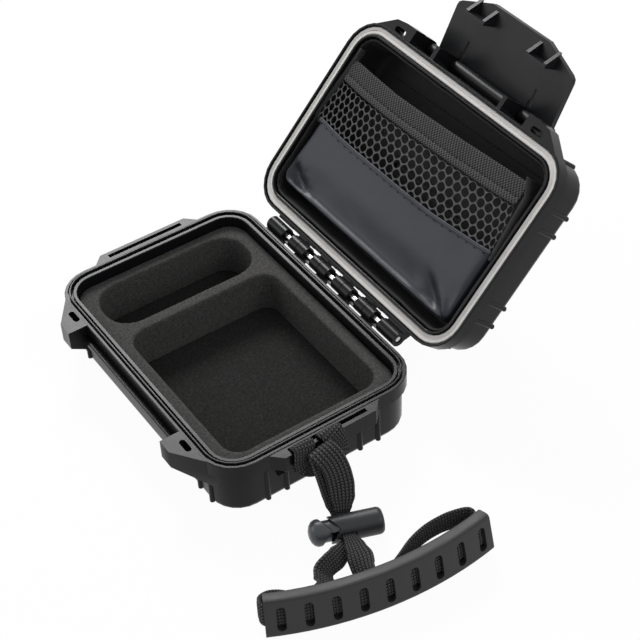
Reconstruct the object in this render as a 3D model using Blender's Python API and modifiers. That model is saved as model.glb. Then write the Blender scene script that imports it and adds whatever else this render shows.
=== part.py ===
"""Small hinged hard case with foam, a lid pocket and a hand strap, lying open.

Sizes are in millimetres and turned into metres where a mesh is made.
The frame: x runs along the hinge, -y is the latch side, z is up and the case stands on z = 0.
Lid and latch pieces are drawn where they sit in the closed case and hang from two pivots.
"""

import math

import bmesh
import bpy
from mathutils import Matrix, Vector

MM = 0.001
# Clearances
GAP = 0.3
BORE_GAP = 0.3
SEAL_GAP = 0.4

# Case body
INNER_X = 72.3
INNER_Y = 47.5
INNER_RADIUS = 11.5
CORNER_STEPS = 6
PARTING_Z = 31.0
LID_HEIGHT = 25.0
FLOOR_THICK = 2.6
FLANGE_OUT = 6.0
FLANGE_TALL = 8.2
BASE_WALL_OUT = 3.5
EDGE_RADIUS = 3.0
RIM_INNER_OUT = 2.0
TONGUE_IN = 2.9
TONGUE_OUT = 3.8
TONGUE_UP = 0.8
OUTER_GROOVE_OUT = 4.6
GROOVE_DEEP = 1.4

# Lid rim and walls
LID_FLANGE_TALL = 7.5
LID_WALL_OUT = 3.1
LIP_IN = -1.2
LIP_TALL = 5.5
CHANNEL_OUT = 4.7
CHANNEL_DEEP = 3.9
LID_INNER_OUT = 0.5
LID_TOP_THICK = 2.5

# Seal
SEAL_IN = 0.3
SEAL_OUT = 4.4

# Ribs on the outer walls
RIB_RADIUS = 1.3
SIDE_RIB_Y = (20.0, 30.0)
END_RIB_X = (52.0, 62.0)

# Corner ears with padlock slots
EAR_IN_X = 42.5
EAR_TIP_X = 50.5
EAR_END_IN = 2.3
EAR_REACH = 15.8
EAR_TALL = 10.0
EAR_FOOT = 17.0
SLOT_IN_X = 47.5
SLOT_OUT_X = 55.5
SLOT_REACH = 8.0
SLOT_WIDE = 3.0
LID_EAR_REACH = 13.0
LID_EAR_TIP_X = 57.0

# Catch rail between the base ears
RAIL_IN_REACH = 6.9
RAIL_OUT_REACH = 9.1
RAIL_TOP = 6.3
RAIL_LOW = 9.0

# Strap loops on both ends of the base
LOOP_REACH = 11.2
LOOP_SLOT_REACH = 7.0
LOOP_BAR = 1.9
LOOP_HALF_Y = 24.0
LOOP_ROOT_Y = 29.0
LOOP_SLOT_HALF_Y = 20.7
LOOP_TALL = 8.6
LOOP_DROP = 0.4
BRACKET_FOOT = 18.0

# Hinge
HINGE_REACH = 11.0
HINGE_DROP = 0.3
KNUCKLE_RADIUS = 3.7
TROUGH_RADIUS = 3.5
TROUGH_INNER = 2.2
HINGE_HALF_X = 53.3
HINGE_PITCH = 18.8
HINGE_WINDOW = 5.5
HINGE_PIN_RADIUS = 1.5
LID_OPEN = 133.5

# Latch
LATCH_REACH = 8.5
LATCH_UP = 16.0
LATCH_OPEN = 74.7
LATCH_PIN_RADIUS = 1.4
PILLAR_WIDE = 4.2
PILLAR_TALL = 19.5
LUG_IN_X = 24.0
LUG_WIDE = 2.5
FLAP_HALF_X = 42.0
FLAP_IN = 4.5
FLAP_THICK = 2.8
FLAP_LONG = 35.0
FLAP_SQUARE = 27.0
FLAP_TIP_X = 20.7
FLAP_TOP = 3.4
BARREL_RADIUS = 3.3
HOOK_IN_X = 15.2
HOOK_OUT_X = 29.5
HOOK_THICK = 1.5
HOOK_REACH = 2.2
GUSSET_THICK = 2.0
GUSSET_LONG = 7.0

# Foam
FOAM_TOP_DROP = 5.7
FOAM_PAD_THICK = 1.9
POCKET_EDGE = 7.2
SMALL_POCKET = (-66.0, -36.0, 13.0)
LARGE_POCKET = (-29.5, 65.0, 9.0)
POCKET_DRAFT = 2.0

# Lid liner and its pocket
LINER_OUT = -1.7
LINER_THICK = 1.0
LINER_RIM_UP = 3.4
PIPING_RADIUS = 0.6
PANEL_X = (-67.2, 67.8)
PANEL_Y = (3.2, 40.0)
PANEL_RADIUS = 6.0
PANEL_UP = 1.8
PANEL_THICK = 1.1
NET_Y = (-20.4, 2.9)
NET_COLUMNS = 36
NET_ROWS = 8
NET_THICK = 0.8
NET_STRAND = 0.9
NET_UP = 2.2
BAND_X = (-66.5, 66.5)
BAND_Y = (-31.5, -20.7)
BAND_UP = 1.9
BAND_THICK = 1.2

# Flat braided strap
STRAP_WIDE = 11.6
STRAP_THICK = 1.6
HITCH_WIDE = 8.6
HITCH_LOW_Y = -20.2
HITCH_HIGH_Y = 0.6
STRAP_IN_LOCK = 6.2

# Cord lock lying on the floor
LOCK_AWAY = 29.8
LOCK_Y = -13.9
LOCK_ANGLE = 68.9
LOCK_RADIUS = 6.1
LOCK_BACK = 16.4
LOCK_FRONT = -7.5
LOCK_END_ROUND = 2.4
NOTCH_TIP = -3.0
NOTCH_SLOPE = 0.8
NOTCH_ROLL = 48.0
LOCK_BORE = 5.1
LOCK_BORE_END = 14.2
LOCK_HOLE_HALF = 3.5
LOCK_HOLE_TALL = 2.4
BUTTON_TRAVEL = 3.5
BUTTON_END = 8.0
BUTTON_CAP_TIP = -7.0
BUTTON_SHOULDER = -13.4
BUTTON_TIP = -16.8
BUTTON_CAP_RADIUS = 6.0
SPRING_TURNS = 4
SPRING_WIRE = 0.35
SPRING_RADIUS = 2.8

# Hand grip standing on its long edge, each end given as the distance out from the strap loop and its y
GRIP_END_A = (55.9, -72.4)
GRIP_END_B = (74.2, 32.6)
GRIP_SAGITTA = 8.6
GRIP_LEAN = 12.0
GRIP_TALL = 19.8
GRIP_THICK = 6.6
GRIP_RAISE = 1.5
GRIP_CORNER = 1.6
GRIP_FRONT_WALL = 1.8
GRIP_CAVITY_THICK = 2.4
GRIP_CAVITY_TALL = 13.0
GRIP_SLOTS = 9
GRIP_SLOT_TALL = 12.8
GRIP_SLOT_WIDE = 4.0
GRIP_SLOT_PITCH = 11.95
GRIP_SLOT_SHIFT = 0.6
GRIP_SLOT_DROP = 0.4
GRIP_NOTCH = 2.6

# Values that follow from the sizes above
HINGE_Y = INNER_Y + HINGE_REACH
HINGE_Z = PARTING_Z - HINGE_DROP
LATCH_Y = -INNER_Y - LATCH_REACH
LATCH_Z = PARTING_Z + LATCH_UP
LID_RIM_Z = PARTING_Z + GAP
LID_TOP_Z = LID_RIM_Z + LID_HEIGHT
EAR_END_X = INNER_X - EAR_END_IN
EAR_FRONT_Y = -INNER_Y - EAR_REACH
SLOT_Y = -INNER_Y - SLOT_REACH
LID_EAR_FRONT_Y = -INNER_Y - LID_EAR_REACH
RAIL_IN_Y = -INNER_Y - RAIL_IN_REACH
RAIL_OUT_Y = -INNER_Y - RAIL_OUT_REACH
POCKET_HALF_Y = INNER_Y - POCKET_EDGE
LOOP_OUT_X = INNER_X + LOOP_REACH
LOOP_SLOT_IN_X = INNER_X + LOOP_SLOT_REACH
LOCK_X = LOOP_OUT_X + LOCK_AWAY
LOOP_TOP_Z = PARTING_Z - LOOP_DROP
LOOP_LOW_Z = LOOP_TOP_Z - LOOP_TALL
LOOP_SLOT_OUT_X = LOOP_OUT_X - LOOP_BAR
FOAM_TOP_Z = PARTING_Z - FOAM_TOP_DROP
LOCK_Z = LOCK_RADIUS + 0.1

for leftover in list(bpy.data.objects):
    bpy.data.objects.remove(leftover, do_unlink=True)
for leftover in list(bpy.data.collections):
    bpy.data.collections.remove(leftover)
PARTS = bpy.data.collections.new("miniature_carry_case")
TOOLS = bpy.data.collections.new("cutters")
TOOLS.hide_render = True
bpy.context.scene.collection.children.link(PARTS)
bpy.context.scene.collection.children.link(TOOLS)


def material(name, colour, roughness, metallic=0.0):
    """A Principled material with one colour."""
    made = bpy.data.materials.new(name)
    made.use_nodes = True
    surface = made.node_tree.nodes["Principled BSDF"]
    surface.inputs["Base Color"].default_value = (*colour, 1.0)
    surface.inputs["Roughness"].default_value = roughness
    surface.inputs["Metallic"].default_value = metallic
    return made


SHELL = material("black_shell_plastic", (0.022, 0.022, 0.025), 0.42)
LATCH = material("black_latch_plastic", (0.019, 0.019, 0.022), 0.38)
STEEL = material("steel_pin", (0.62, 0.62, 0.64), 0.28, 1.0)
SEAL = material("white_seal_rubber", (0.63, 0.60, 0.57), 0.6)
FOAM = material("charcoal_foam", (0.035, 0.033, 0.032), 0.95)
LINER = material("black_lining", (0.012, 0.012, 0.013), 0.75)
PANEL = material("black_coated_cloth", (0.022, 0.023, 0.027), 0.5)
NET = material("black_net", (0.03, 0.03, 0.032), 0.8)
BAND = material("black_elastic", (0.035, 0.035, 0.037), 0.85)
BRAID = material("black_braid", (0.016, 0.016, 0.017), 0.9)
LOCK = material("black_lock_plastic", (0.02, 0.02, 0.022), 0.4)
GRIP = material("black_grip_rubber", (0.03, 0.03, 0.033), 0.6)


def add(name, mesh, paint=None):
    """An object from a mesh: a node when it has a material, else a cutter or a joining piece."""
    made = bpy.data.objects.new(name, mesh)
    if paint is None:
        TOOLS.objects.link(made)
        made.hide_render = True
        made.display_type = "WIRE"
    else:
        PARTS.objects.link(made)
        mesh.materials.append(paint)
    return made


def solid_from(work, name, paint=None, smooth=False):
    """Closes a bmesh drawn in millimetres into an object in metres."""
    bmesh.ops.recalc_face_normals(work, faces=work.faces[:])
    bmesh.ops.scale(work, vec=(MM, MM, MM), verts=work.verts[:])
    mesh = bpy.data.meshes.new(name)
    work.to_mesh(mesh)
    work.free()
    for face in mesh.polygons:
        face.use_smooth = smooth
    return add(name, mesh, paint)


def stacked(name, rings, paint=None, smooth=False):
    """A closed solid made by extruding one outline through a row of outlines of as many points."""
    work = bmesh.new()
    slot = work.verts.layers.int.new("slot")
    first = [work.verts.new(point) for point in rings[0]]
    for index, corner in enumerate(first):
        corner[slot] = index
    face = work.faces.new(first)
    for step, ring in enumerate(rings[1:]):
        made = bmesh.ops.extrude_face_region(work, geom=[face])
        if step > 0:
            bmesh.ops.delete(work, geom=[face], context="FACES_ONLY")
        face = [item for item in made["geom"] if isinstance(item, bmesh.types.BMFace)][0]
        for corner in face.verts:
            corner.co = ring[corner[slot]]
    work.verts.layers.int.remove(slot)
    return solid_from(work, name, paint, smooth)


def block(name, low, high, paint=None):
    """A box between two corners."""
    work = bmesh.new()
    size = [high[i] - low[i] for i in range(3)]
    middle = [(high[i] + low[i]) / 2 for i in range(3)]
    place = Matrix.Translation(middle) @ Matrix.Diagonal((*size, 1.0))
    bmesh.ops.create_cube(work, size=1.0, matrix=place)
    return solid_from(work, name, paint)


def rod(name, start, end, radius, sides=20, paint=None, smooth=False):
    """A round bar between two points."""
    work = bmesh.new()
    start = Vector(start)
    end = Vector(end)
    along = end - start
    turn = along.to_track_quat("Z", "Y").to_matrix().to_4x4()
    place = Matrix.Translation((start + end) / 2) @ turn
    bmesh.ops.create_cone(
        work,
        cap_ends=True,
        segments=sides,
        radius1=radius,
        radius2=radius,
        depth=along.length,
        matrix=place,
    )
    return solid_from(work, name, paint, smooth)


def slab_x(name, outline, low_x, high_x):
    """An outline of (y, z) points extruded along x."""
    rings = [[(x, y, z) for y, z in outline] for x in (low_x, high_x)]
    return stacked(name, rings)


def slab_y(name, outline, low_y, high_y):
    """An outline of (x, z) points extruded along y."""
    rings = [[(x, y, z) for x, z in outline] for y in (low_y, high_y)]
    return stacked(name, rings)


def slab_z(name, outline, low_z, high_z):
    """An outline of (x, y) points extruded along z."""
    rings = [[(x, y, z) for x, y in outline] for z in (low_z, high_z)]
    return stacked(name, rings)


def boolean(target, operation, pieces):
    """Joins or cuts the pieces, which sit in a collection of their own."""
    group = bpy.data.collections.new(target.name + "_" + operation.lower())
    TOOLS.children.link(group)
    group.hide_render = True
    for piece in pieces:
        TOOLS.objects.unlink(piece)
        group.objects.link(piece)
    change = target.modifiers.new(operation.lower(), "BOOLEAN")
    change.operation = operation
    change.operand_type = "COLLECTION"
    change.collection = group
    change.solver = "EXACT"


def join(target, pieces):
    """Adds the pieces to the target."""
    boolean(target, "UNION", pieces)


def cut(target, pieces):
    """Takes the pieces out of the target."""
    boolean(target, "DIFFERENCE", pieces)


def oblong(middle_x, middle_y, half_x, half_y, radius, steps=CORNER_STEPS):
    """Points (x, y) round a rectangle with round corners, anticlockwise."""
    points = []
    for side_x, side_y, start in ((1, 1, 0), (-1, 1, 90), (-1, -1, 180), (1, -1, 270)):
        for step in range(steps + 1):
            angle = math.radians(start + 90.0 * step / steps)
            x = side_x * (half_x - radius) + radius * math.cos(angle)
            y = side_y * (half_y - radius) + radius * math.sin(angle)
            points.append((middle_x + x, middle_y + y))
    return points


def case_ring(grow, z):
    """The outline of the case's inner wall grown by a distance, at height z."""
    outline = oblong(0.0, 0.0, INNER_X + grow, INNER_Y + grow, INNER_RADIUS + grow)
    return [(x, y, z) for x, y in outline]


def edge_round(out, z, up):
    """The outer round edge of a shell as (grow, z) pairs, from its flat face to its wall."""
    pairs = []
    for step in range(4):
        angle = math.radians(30.0 * step)
        grow = out - EDGE_RADIUS + EDGE_RADIUS * math.sin(angle)
        pairs.append((grow, z + up * EDGE_RADIUS * (1.0 - math.cos(angle))))
    return pairs


def pivoted(pieces, pivot, origin):
    """Hangs pieces drawn in the closed case from a pivot that sits at the origin given."""
    for piece in pieces:
        piece.parent = pivot
        piece.location = Vector(origin) * -MM


LID_PIVOT = bpy.data.objects.new("lid_pivot", None)
PARTS.objects.link(LID_PIVOT)
LID_ORIGIN = (0.0, HINGE_Y, HINGE_Z)
LID_PIVOT.location = Vector(LID_ORIGIN) * MM
LID_PIVOT.rotation_euler = (math.radians(-LID_OPEN), 0.0, 0.0)
LATCH_PIVOT = bpy.data.objects.new("latch_pivot", None)
PARTS.objects.link(LATCH_PIVOT)
LATCH_ORIGIN = (0.0, LATCH_Y, LATCH_Z)
LATCH_PIVOT.parent = LID_PIVOT
LATCH_PIVOT.location = (Vector(LATCH_ORIGIN) - Vector(LID_ORIGIN)) * MM
LATCH_PIVOT.rotation_euler = (math.radians(-LATCH_OPEN), 0.0, 0.0)


def hinge_rows():
    """The x ranges of the base's knuckles and of the lid's, from the pitch and the windows."""
    half = HINGE_WINDOW / 2
    room = HINGE_PITCH - HINGE_WINDOW
    wide = (room - 3 * GAP) / 2
    base_rows = [(-HINGE_HALF_X, -2 * HINGE_PITCH - half)]
    lid_rows = []
    for step in range(-2, 2):
        start = step * HINGE_PITCH + half + GAP
        lid_rows.append((start, start + wide))
        base_rows.append((start + wide + GAP, start + 2 * wide + GAP))
    lid_rows.append((2 * HINGE_PITCH + half, HINGE_HALF_X))
    return base_rows, lid_rows


def knuckles(name, rows, side):
    """Barrels with arms that reach in to the flange below (side -1) or above (side 1) the parting."""
    inner_y = INNER_Y + FLANGE_OUT - 1.0
    arm = [
        (inner_y, HINGE_Z + side * 1.2),
        (HINGE_Y, HINGE_Z + side * 0.8),
        (HINGE_Y, HINGE_Z + side * (KNUCKLE_RADIUS - 0.1)),
        (HINGE_Y - 3.0, HINGE_Z + side * 5.6),
        (inner_y, HINGE_Z + side * 7.0),
    ]
    made = []
    for index, (low, high) in enumerate(rows):
        barrel = rod(
            f"{name}_barrel_{index}", (low, HINGE_Y, HINGE_Z), (high, HINGE_Y, HINGE_Z), KNUCKLE_RADIUS
        )
        made.append(barrel)
        inset = 0.05
        made.append(slab_x(f"{name}_arm_{index}", arm, low + inset, high - inset))
    return made


def hinge_troughs():
    """Half-round covers below the pin in the hinge's windows, each on the base's knuckle beside it."""
    turns = [math.radians(180 + 15 * step) for step in range(13)]
    outline = []
    for turn in turns:
        outline.append((HINGE_Y + TROUGH_RADIUS * math.cos(turn), HINGE_Z + TROUGH_RADIUS * math.sin(turn)))
    for turn in reversed(turns):
        outline.append((HINGE_Y + TROUGH_INNER * math.cos(turn), HINGE_Z + TROUGH_INNER * math.sin(turn)))
    made = []
    for step in range(-2, 3):
        low = step * HINGE_PITCH - HINGE_WINDOW / 2
        high = step * HINGE_PITCH + HINGE_WINDOW / 2
        made.append(slab_x(f"hinge_trough_{step + 2}", outline, low - 1.0, high - GAP))
    return made


def ribs(name, wall_out, low_z, high_z):
    """Upright half-round ribs on the four outer walls."""
    made = []
    wall_x = INNER_X + wall_out - 0.1
    wall_y = INNER_Y + wall_out - 0.1
    spots = [(side * wall_x, turn * y) for side in (-1, 1) for turn in (-1, 1) for y in SIDE_RIB_Y]
    spots += [(turn * x, side * wall_y) for side in (-1, 1) for turn in (-1, 1) for x in END_RIB_X]
    for index, (x, y) in enumerate(spots):
        made.append(rod(f"{name}_{index}", (x, y, low_z), (x, y, high_z), RIB_RADIUS, 10))
    return made


def mirrored(outline, side):
    """An outline flipped to the other end of the case when side is -1."""
    return [(side * x, *rest) for x, *rest in outline]


def slot_cutter(name, side, low_z, high_z):
    """A padlock slot through an ear."""
    middle = side * (SLOT_IN_X + SLOT_OUT_X) / 2
    half = (SLOT_OUT_X - SLOT_IN_X) / 2
    outline = oblong(middle, SLOT_Y, half, SLOT_WIDE / 2, SLOT_WIDE / 2 - 0.01, 4)
    return slab_z(name, outline, low_z, high_z)


# Base shell
base_profile = edge_round(BASE_WALL_OUT, 0.0, 1)
base_profile += [
    (BASE_WALL_OUT + 0.2, PARTING_Z - FLANGE_TALL),
    (FLANGE_OUT - 0.3, PARTING_Z - FLANGE_TALL),
    (FLANGE_OUT, PARTING_Z - FLANGE_TALL + 0.3),
    (FLANGE_OUT, PARTING_Z - 0.3),
    (FLANGE_OUT - 0.3, PARTING_Z),
    (OUTER_GROOVE_OUT, PARTING_Z),
    (OUTER_GROOVE_OUT, PARTING_Z - GROOVE_DEEP),
    (TONGUE_OUT, PARTING_Z - GROOVE_DEEP),
    (TONGUE_OUT, PARTING_Z + TONGUE_UP - 0.25),
    (TONGUE_OUT - 0.25, PARTING_Z + TONGUE_UP),
    (TONGUE_IN + 0.25, PARTING_Z + TONGUE_UP),
    (TONGUE_IN, PARTING_Z + TONGUE_UP - 0.25),
    (TONGUE_IN, PARTING_Z - GROOVE_DEEP),
    (RIM_INNER_OUT, PARTING_Z - GROOVE_DEEP),
    (RIM_INNER_OUT, PARTING_Z - 0.5),
    (RIM_INNER_OUT - 0.3, PARTING_Z - 0.2),
    (0.3, PARTING_Z - 0.2),
    (0.0, PARTING_Z - 0.5),
    (0.0, FLOOR_THICK + 2.0),
    (-2.0, FLOOR_THICK),
]
base_shell = stacked("base_shell", [case_ring(grow, z) for grow, z in base_profile], SHELL)
base_rows, lid_rows = hinge_rows()
base_more = knuckles("base_knuckle", base_rows, -1)
base_more += hinge_troughs()
base_more += ribs("base_rib", BASE_WALL_OUT, 1.2, PARTING_Z - FLANGE_TALL + 1.0)
ear_root_y = -INNER_Y - TONGUE_OUT - 0.9
ear_low_y = -INNER_Y - BASE_WALL_OUT + 0.5
for side in (-1, 1):
    top = [
        (EAR_IN_X, ear_root_y),
        (EAR_IN_X, EAR_FRONT_Y),
        (EAR_TIP_X, EAR_FRONT_Y),
        (EAR_END_X, -INNER_Y - 2.0),
        (EAR_END_X - 8.0, ear_root_y),
    ]
    deep = [
        (EAR_IN_X, ear_low_y + 0.6),
        *top[1:-1],
        (EAR_END_X - 8.0, ear_low_y + 0.6),
    ]
    foot = [
        (EAR_IN_X, ear_low_y + 0.6),
        (EAR_IN_X, ear_low_y - 0.9),
        (EAR_TIP_X, ear_low_y - 0.9),
        (EAR_END_X - 4.0, ear_low_y - 0.4),
        (EAR_END_X - 8.0, ear_low_y + 0.6),
    ]
    ear = stacked(
        f"base_ear_{side}",
        [
            [(side * x, y, PARTING_Z - 0.05) for x, y in top],
            [(side * x, y, PARTING_Z - GROOVE_DEEP - 1.0) for x, y in top],
            [(side * x, y, PARTING_Z - GROOVE_DEEP - 2.0) for x, y in deep],
            [(side * x, y, PARTING_Z - EAR_TALL) for x, y in deep],
            [(side * x, y, PARTING_Z - EAR_FOOT) for x, y in foot],
        ],
    )
    base_more.append(ear)
    loop_outline = [
        (INNER_X + FLANGE_OUT - 1.0, -LOOP_ROOT_Y - 0.6),
        (INNER_X + FLANGE_OUT + 0.2, -LOOP_ROOT_Y),
        (LOOP_OUT_X, -LOOP_HALF_Y),
        (LOOP_OUT_X, LOOP_HALF_Y),
        (INNER_X + FLANGE_OUT + 0.2, LOOP_ROOT_Y),
        (INNER_X + FLANGE_OUT - 1.0, LOOP_ROOT_Y + 0.6),
    ]
    base_more.append(
        slab_z(f"loop_{side}", mirrored(loop_outline, side), LOOP_LOW_Z, LOOP_TOP_Z)
    )
    for turn in (-1, 1):
        bracket = [
            (INNER_X + BASE_WALL_OUT - 1.0, PARTING_Z - 4.0),
            (LOOP_OUT_X - 0.6, PARTING_Z - 4.0),
            (LOOP_OUT_X - 0.6, LOOP_LOW_Z - 0.8),
            (INNER_X + BASE_WALL_OUT + 0.8, PARTING_Z - BRACKET_FOOT),
            (INNER_X + BASE_WALL_OUT - 1.0, PARTING_Z - BRACKET_FOOT),
        ]
        near = turn * (LOOP_SLOT_HALF_Y + 0.6)
        far = turn * (LOOP_HALF_Y + 0.6)
        base_more.append(
            slab_y(f"bracket_{side}_{turn}", mirrored(bracket, side), min(near, far), max(near, far))
        )
rail = [
    (-INNER_Y - BASE_WALL_OUT + 0.5, PARTING_Z - FLANGE_TALL + 0.4),
    (-INNER_Y - BASE_WALL_OUT + 0.5, PARTING_Z - RAIL_LOW),
    (RAIL_OUT_Y, PARTING_Z - RAIL_LOW),
    (RAIL_OUT_Y, PARTING_Z - RAIL_TOP - 0.5),
    (RAIL_OUT_Y + 0.5, PARTING_Z - RAIL_TOP),
    (RAIL_IN_Y, PARTING_Z - RAIL_TOP),
    (RAIL_IN_Y, PARTING_Z - FLANGE_TALL + 0.4),
]
base_more.append(slab_x("catch_rail", rail, -EAR_IN_X - 1.0, EAR_IN_X + 1.0))
join(base_shell, base_more)
base_cuts = [
    rod(
        "hinge_bore_base",
        (-HINGE_HALF_X - 2.0, HINGE_Y, HINGE_Z),
        (HINGE_HALF_X + 2.0, HINGE_Y, HINGE_Z),
        HINGE_PIN_RADIUS + BORE_GAP,
        14,
    )
]
for side in (-1, 1):
    base_cuts.append(slot_cutter(f"base_slot_{side}", side, 5.0, PARTING_Z + 5.0))
    low_x, high_x = sorted((side * LOOP_SLOT_IN_X, side * LOOP_SLOT_OUT_X))
    base_cuts.append(
        block(
            f"loop_slot_{side}",
            (low_x, -LOOP_SLOT_HALF_Y, LOOP_LOW_Z - 4.0),
            (high_x, LOOP_SLOT_HALF_Y, LOOP_TOP_Z + 4.0),
        )
    )
cut(base_shell, base_cuts)

# Hinge pin
hinge_pin = rod(
    "hinge_pin",
    (-HINGE_HALF_X + 0.5, HINGE_Y, HINGE_Z),
    (HINGE_HALF_X - 0.5, HINGE_Y, HINGE_Z),
    HINGE_PIN_RADIUS,
    16,
    STEEL,
    True,
)

# Foam pad and foam insert
pad_low = FLOOR_THICK + GAP
pad_high = pad_low + FOAM_PAD_THICK
foam_base_pad = stacked(
    "foam_base_pad", [case_ring(-2.5, pad_low), case_ring(-2.5, pad_high)], FOAM
)
insert_low = pad_high + GAP
foam_insert = stacked(
    "foam_insert",
    [
        case_ring(-GAP, insert_low),
        case_ring(-GAP, FOAM_TOP_Z - 0.6),
        case_ring(-GAP - 0.6, FOAM_TOP_Z),
    ],
    FOAM,
)
pocket_cuts = []
for low_x, high_x, corner in (SMALL_POCKET, LARGE_POCKET):
    middle = (low_x + high_x) / 2
    half = (high_x - low_x) / 2
    rings = []
    for z, grow in (
        (insert_low - 2.0, -POCKET_DRAFT),
        (insert_low, -POCKET_DRAFT),
        (FOAM_TOP_Z - 0.6, 0.0),
        (FOAM_TOP_Z, 0.6),
        (FOAM_TOP_Z + 2.0, 0.6),
    ):
        outline = oblong(middle, 0.0, half + grow, POCKET_HALF_Y + grow, corner + grow)
        rings.append([(x, y, z) for x, y in outline])
    pocket_cuts.append(stacked(f"pocket_cut_{len(pocket_cuts)}", rings))
cut(foam_insert, pocket_cuts)

# Lid shell
lid_profile = edge_round(LID_WALL_OUT, LID_TOP_Z, -1)
lid_profile += [
    (LID_WALL_OUT + 0.2, LID_RIM_Z + LID_FLANGE_TALL),
    (FLANGE_OUT - 0.4, LID_RIM_Z + LID_FLANGE_TALL),
    (FLANGE_OUT - 0.1, LID_RIM_Z + LID_FLANGE_TALL - 0.3),
    (FLANGE_OUT - 0.1, LID_RIM_Z + 0.3),
    (FLANGE_OUT - 0.4, LID_RIM_Z),
    (CHANNEL_OUT, LID_RIM_Z),
    (CHANNEL_OUT, LID_RIM_Z + CHANNEL_DEEP),
    (0.0, LID_RIM_Z + CHANNEL_DEEP),
    (0.0, LID_RIM_Z + 0.2),
    (-0.2, LID_RIM_Z),
    (LIP_IN + 0.2, LID_RIM_Z),
    (LIP_IN, LID_RIM_Z + 0.2),
    (LIP_IN, LID_RIM_Z + LIP_TALL),
    (LID_INNER_OUT, LID_RIM_Z + LIP_TALL),
    (LID_INNER_OUT, LID_TOP_Z - LID_TOP_THICK - 1.5),
    (LID_INNER_OUT - 1.5, LID_TOP_Z - LID_TOP_THICK),
]
lid_shell = stacked("lid_shell", [case_ring(grow, z) for grow, z in lid_profile], SHELL)
lid_more = knuckles("lid_knuckle", lid_rows, 1)
lid_more += ribs("lid_rib", LID_WALL_OUT, LID_RIM_Z + LID_FLANGE_TALL - 1.0, LID_TOP_Z - 1.2)
wall_y = -INNER_Y - LID_WALL_OUT + 0.6
for side in (-1, 1):
    top = [
        (EAR_IN_X, ear_root_y - 0.5),
        (EAR_IN_X, LID_EAR_FRONT_Y),
        (LID_EAR_TIP_X - 7.0, LID_EAR_FRONT_Y),
        (LID_EAR_TIP_X, LID_EAR_FRONT_Y + 1.0),
        (EAR_END_X, -INNER_Y - 2.5),
        (EAR_END_X - 8.0, ear_root_y - 0.5),
    ]
    lid_more.append(
        slab_z(f"lid_ear_{side}", mirrored(top, side), LID_RIM_Z + 0.05, LID_RIM_Z + LID_FLANGE_TALL - 0.05)
    )
    arch = [(ear_root_y - 0.5, LID_RIM_Z + 0.3)]
    arch.append((LATCH_Y - PILLAR_WIDE, LID_RIM_Z + 0.3))
    for step in range(7):
        angle = math.radians(180.0 - 15.0 * step)
        arch.append(
            (
                LATCH_Y + PILLAR_WIDE * math.cos(angle),
                LID_RIM_Z + PILLAR_TALL - PILLAR_WIDE + PILLAR_WIDE * math.sin(angle),
            )
        )
    arch.append((wall_y, LID_RIM_Z + PILLAR_TALL))
    arch.append((wall_y, LID_RIM_Z + CHANNEL_DEEP + 2.0))
    arch.append((ear_root_y - 0.5, LID_RIM_Z + CHANNEL_DEEP + 2.0))
    low_x, high_x = sorted((side * EAR_IN_X, side * (EAR_IN_X + PILLAR_WIDE)))
    lid_more.append(slab_x(f"pillar_{side}", arch, low_x + 0.02, high_x - 0.02))
    low_x, high_x = sorted((side * LUG_IN_X, side * (LUG_IN_X + LUG_WIDE)))
    lid_more.append(slab_x(f"lug_{side}", arch, low_x, high_x))
join(lid_shell, lid_more)
lid_cuts = [
    rod(
        "hinge_bore_lid",
        (-HINGE_HALF_X - 2.0, HINGE_Y, HINGE_Z),
        (HINGE_HALF_X + 2.0, HINGE_Y, HINGE_Z),
        HINGE_PIN_RADIUS + BORE_GAP,
        14,
    )
]
pin_end_x = EAR_IN_X + PILLAR_WIDE - 0.6
lid_cuts.append(
    rod(
        "latch_bore_lid",
        (-pin_end_x - 4.0, LATCH_Y, LATCH_Z),
        (pin_end_x + 4.0, LATCH_Y, LATCH_Z),
        LATCH_PIN_RADIUS + BORE_GAP,
        14,
    )
)
for side in (-1, 1):
    slot_high = LID_RIM_Z + LID_FLANGE_TALL + 4.0
    lid_cuts.append(slot_cutter(f"lid_slot_{side}", side, LID_RIM_Z - 4.0, slot_high))
cut(lid_shell, lid_cuts)
lid_pieces = [lid_shell] + lid_more + lid_cuts

# Lid seal
seal_low = PARTING_Z + TONGUE_UP + SEAL_GAP
seal_high = LID_RIM_Z + CHANNEL_DEEP - GAP
lid_seal = stacked(
    "lid_seal",
    [
        case_ring(SEAL_OUT - 0.5, seal_low),
        case_ring(SEAL_OUT, seal_low + 0.5),
        case_ring(SEAL_OUT, seal_high),
    ],
    SEAL,
)
seal_hole = stacked(
    "seal_hole",
    [
        case_ring(SEAL_IN + 1.0, seal_low - 0.5),
        case_ring(SEAL_IN, seal_low + 0.5),
        case_ring(SEAL_IN, seal_high + 1.0),
    ],
)
cut(lid_seal, [seal_hole])
lid_pieces += [lid_seal, seal_hole]

# Latch pin
latch_pin = rod(
    "latch_pin",
    (-pin_end_x, LATCH_Y, LATCH_Z),
    (pin_end_x, LATCH_Y, LATCH_Z),
    LATCH_PIN_RADIUS,
    14,
    STEEL,
    True,
)
lid_pieces.append(latch_pin)

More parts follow.
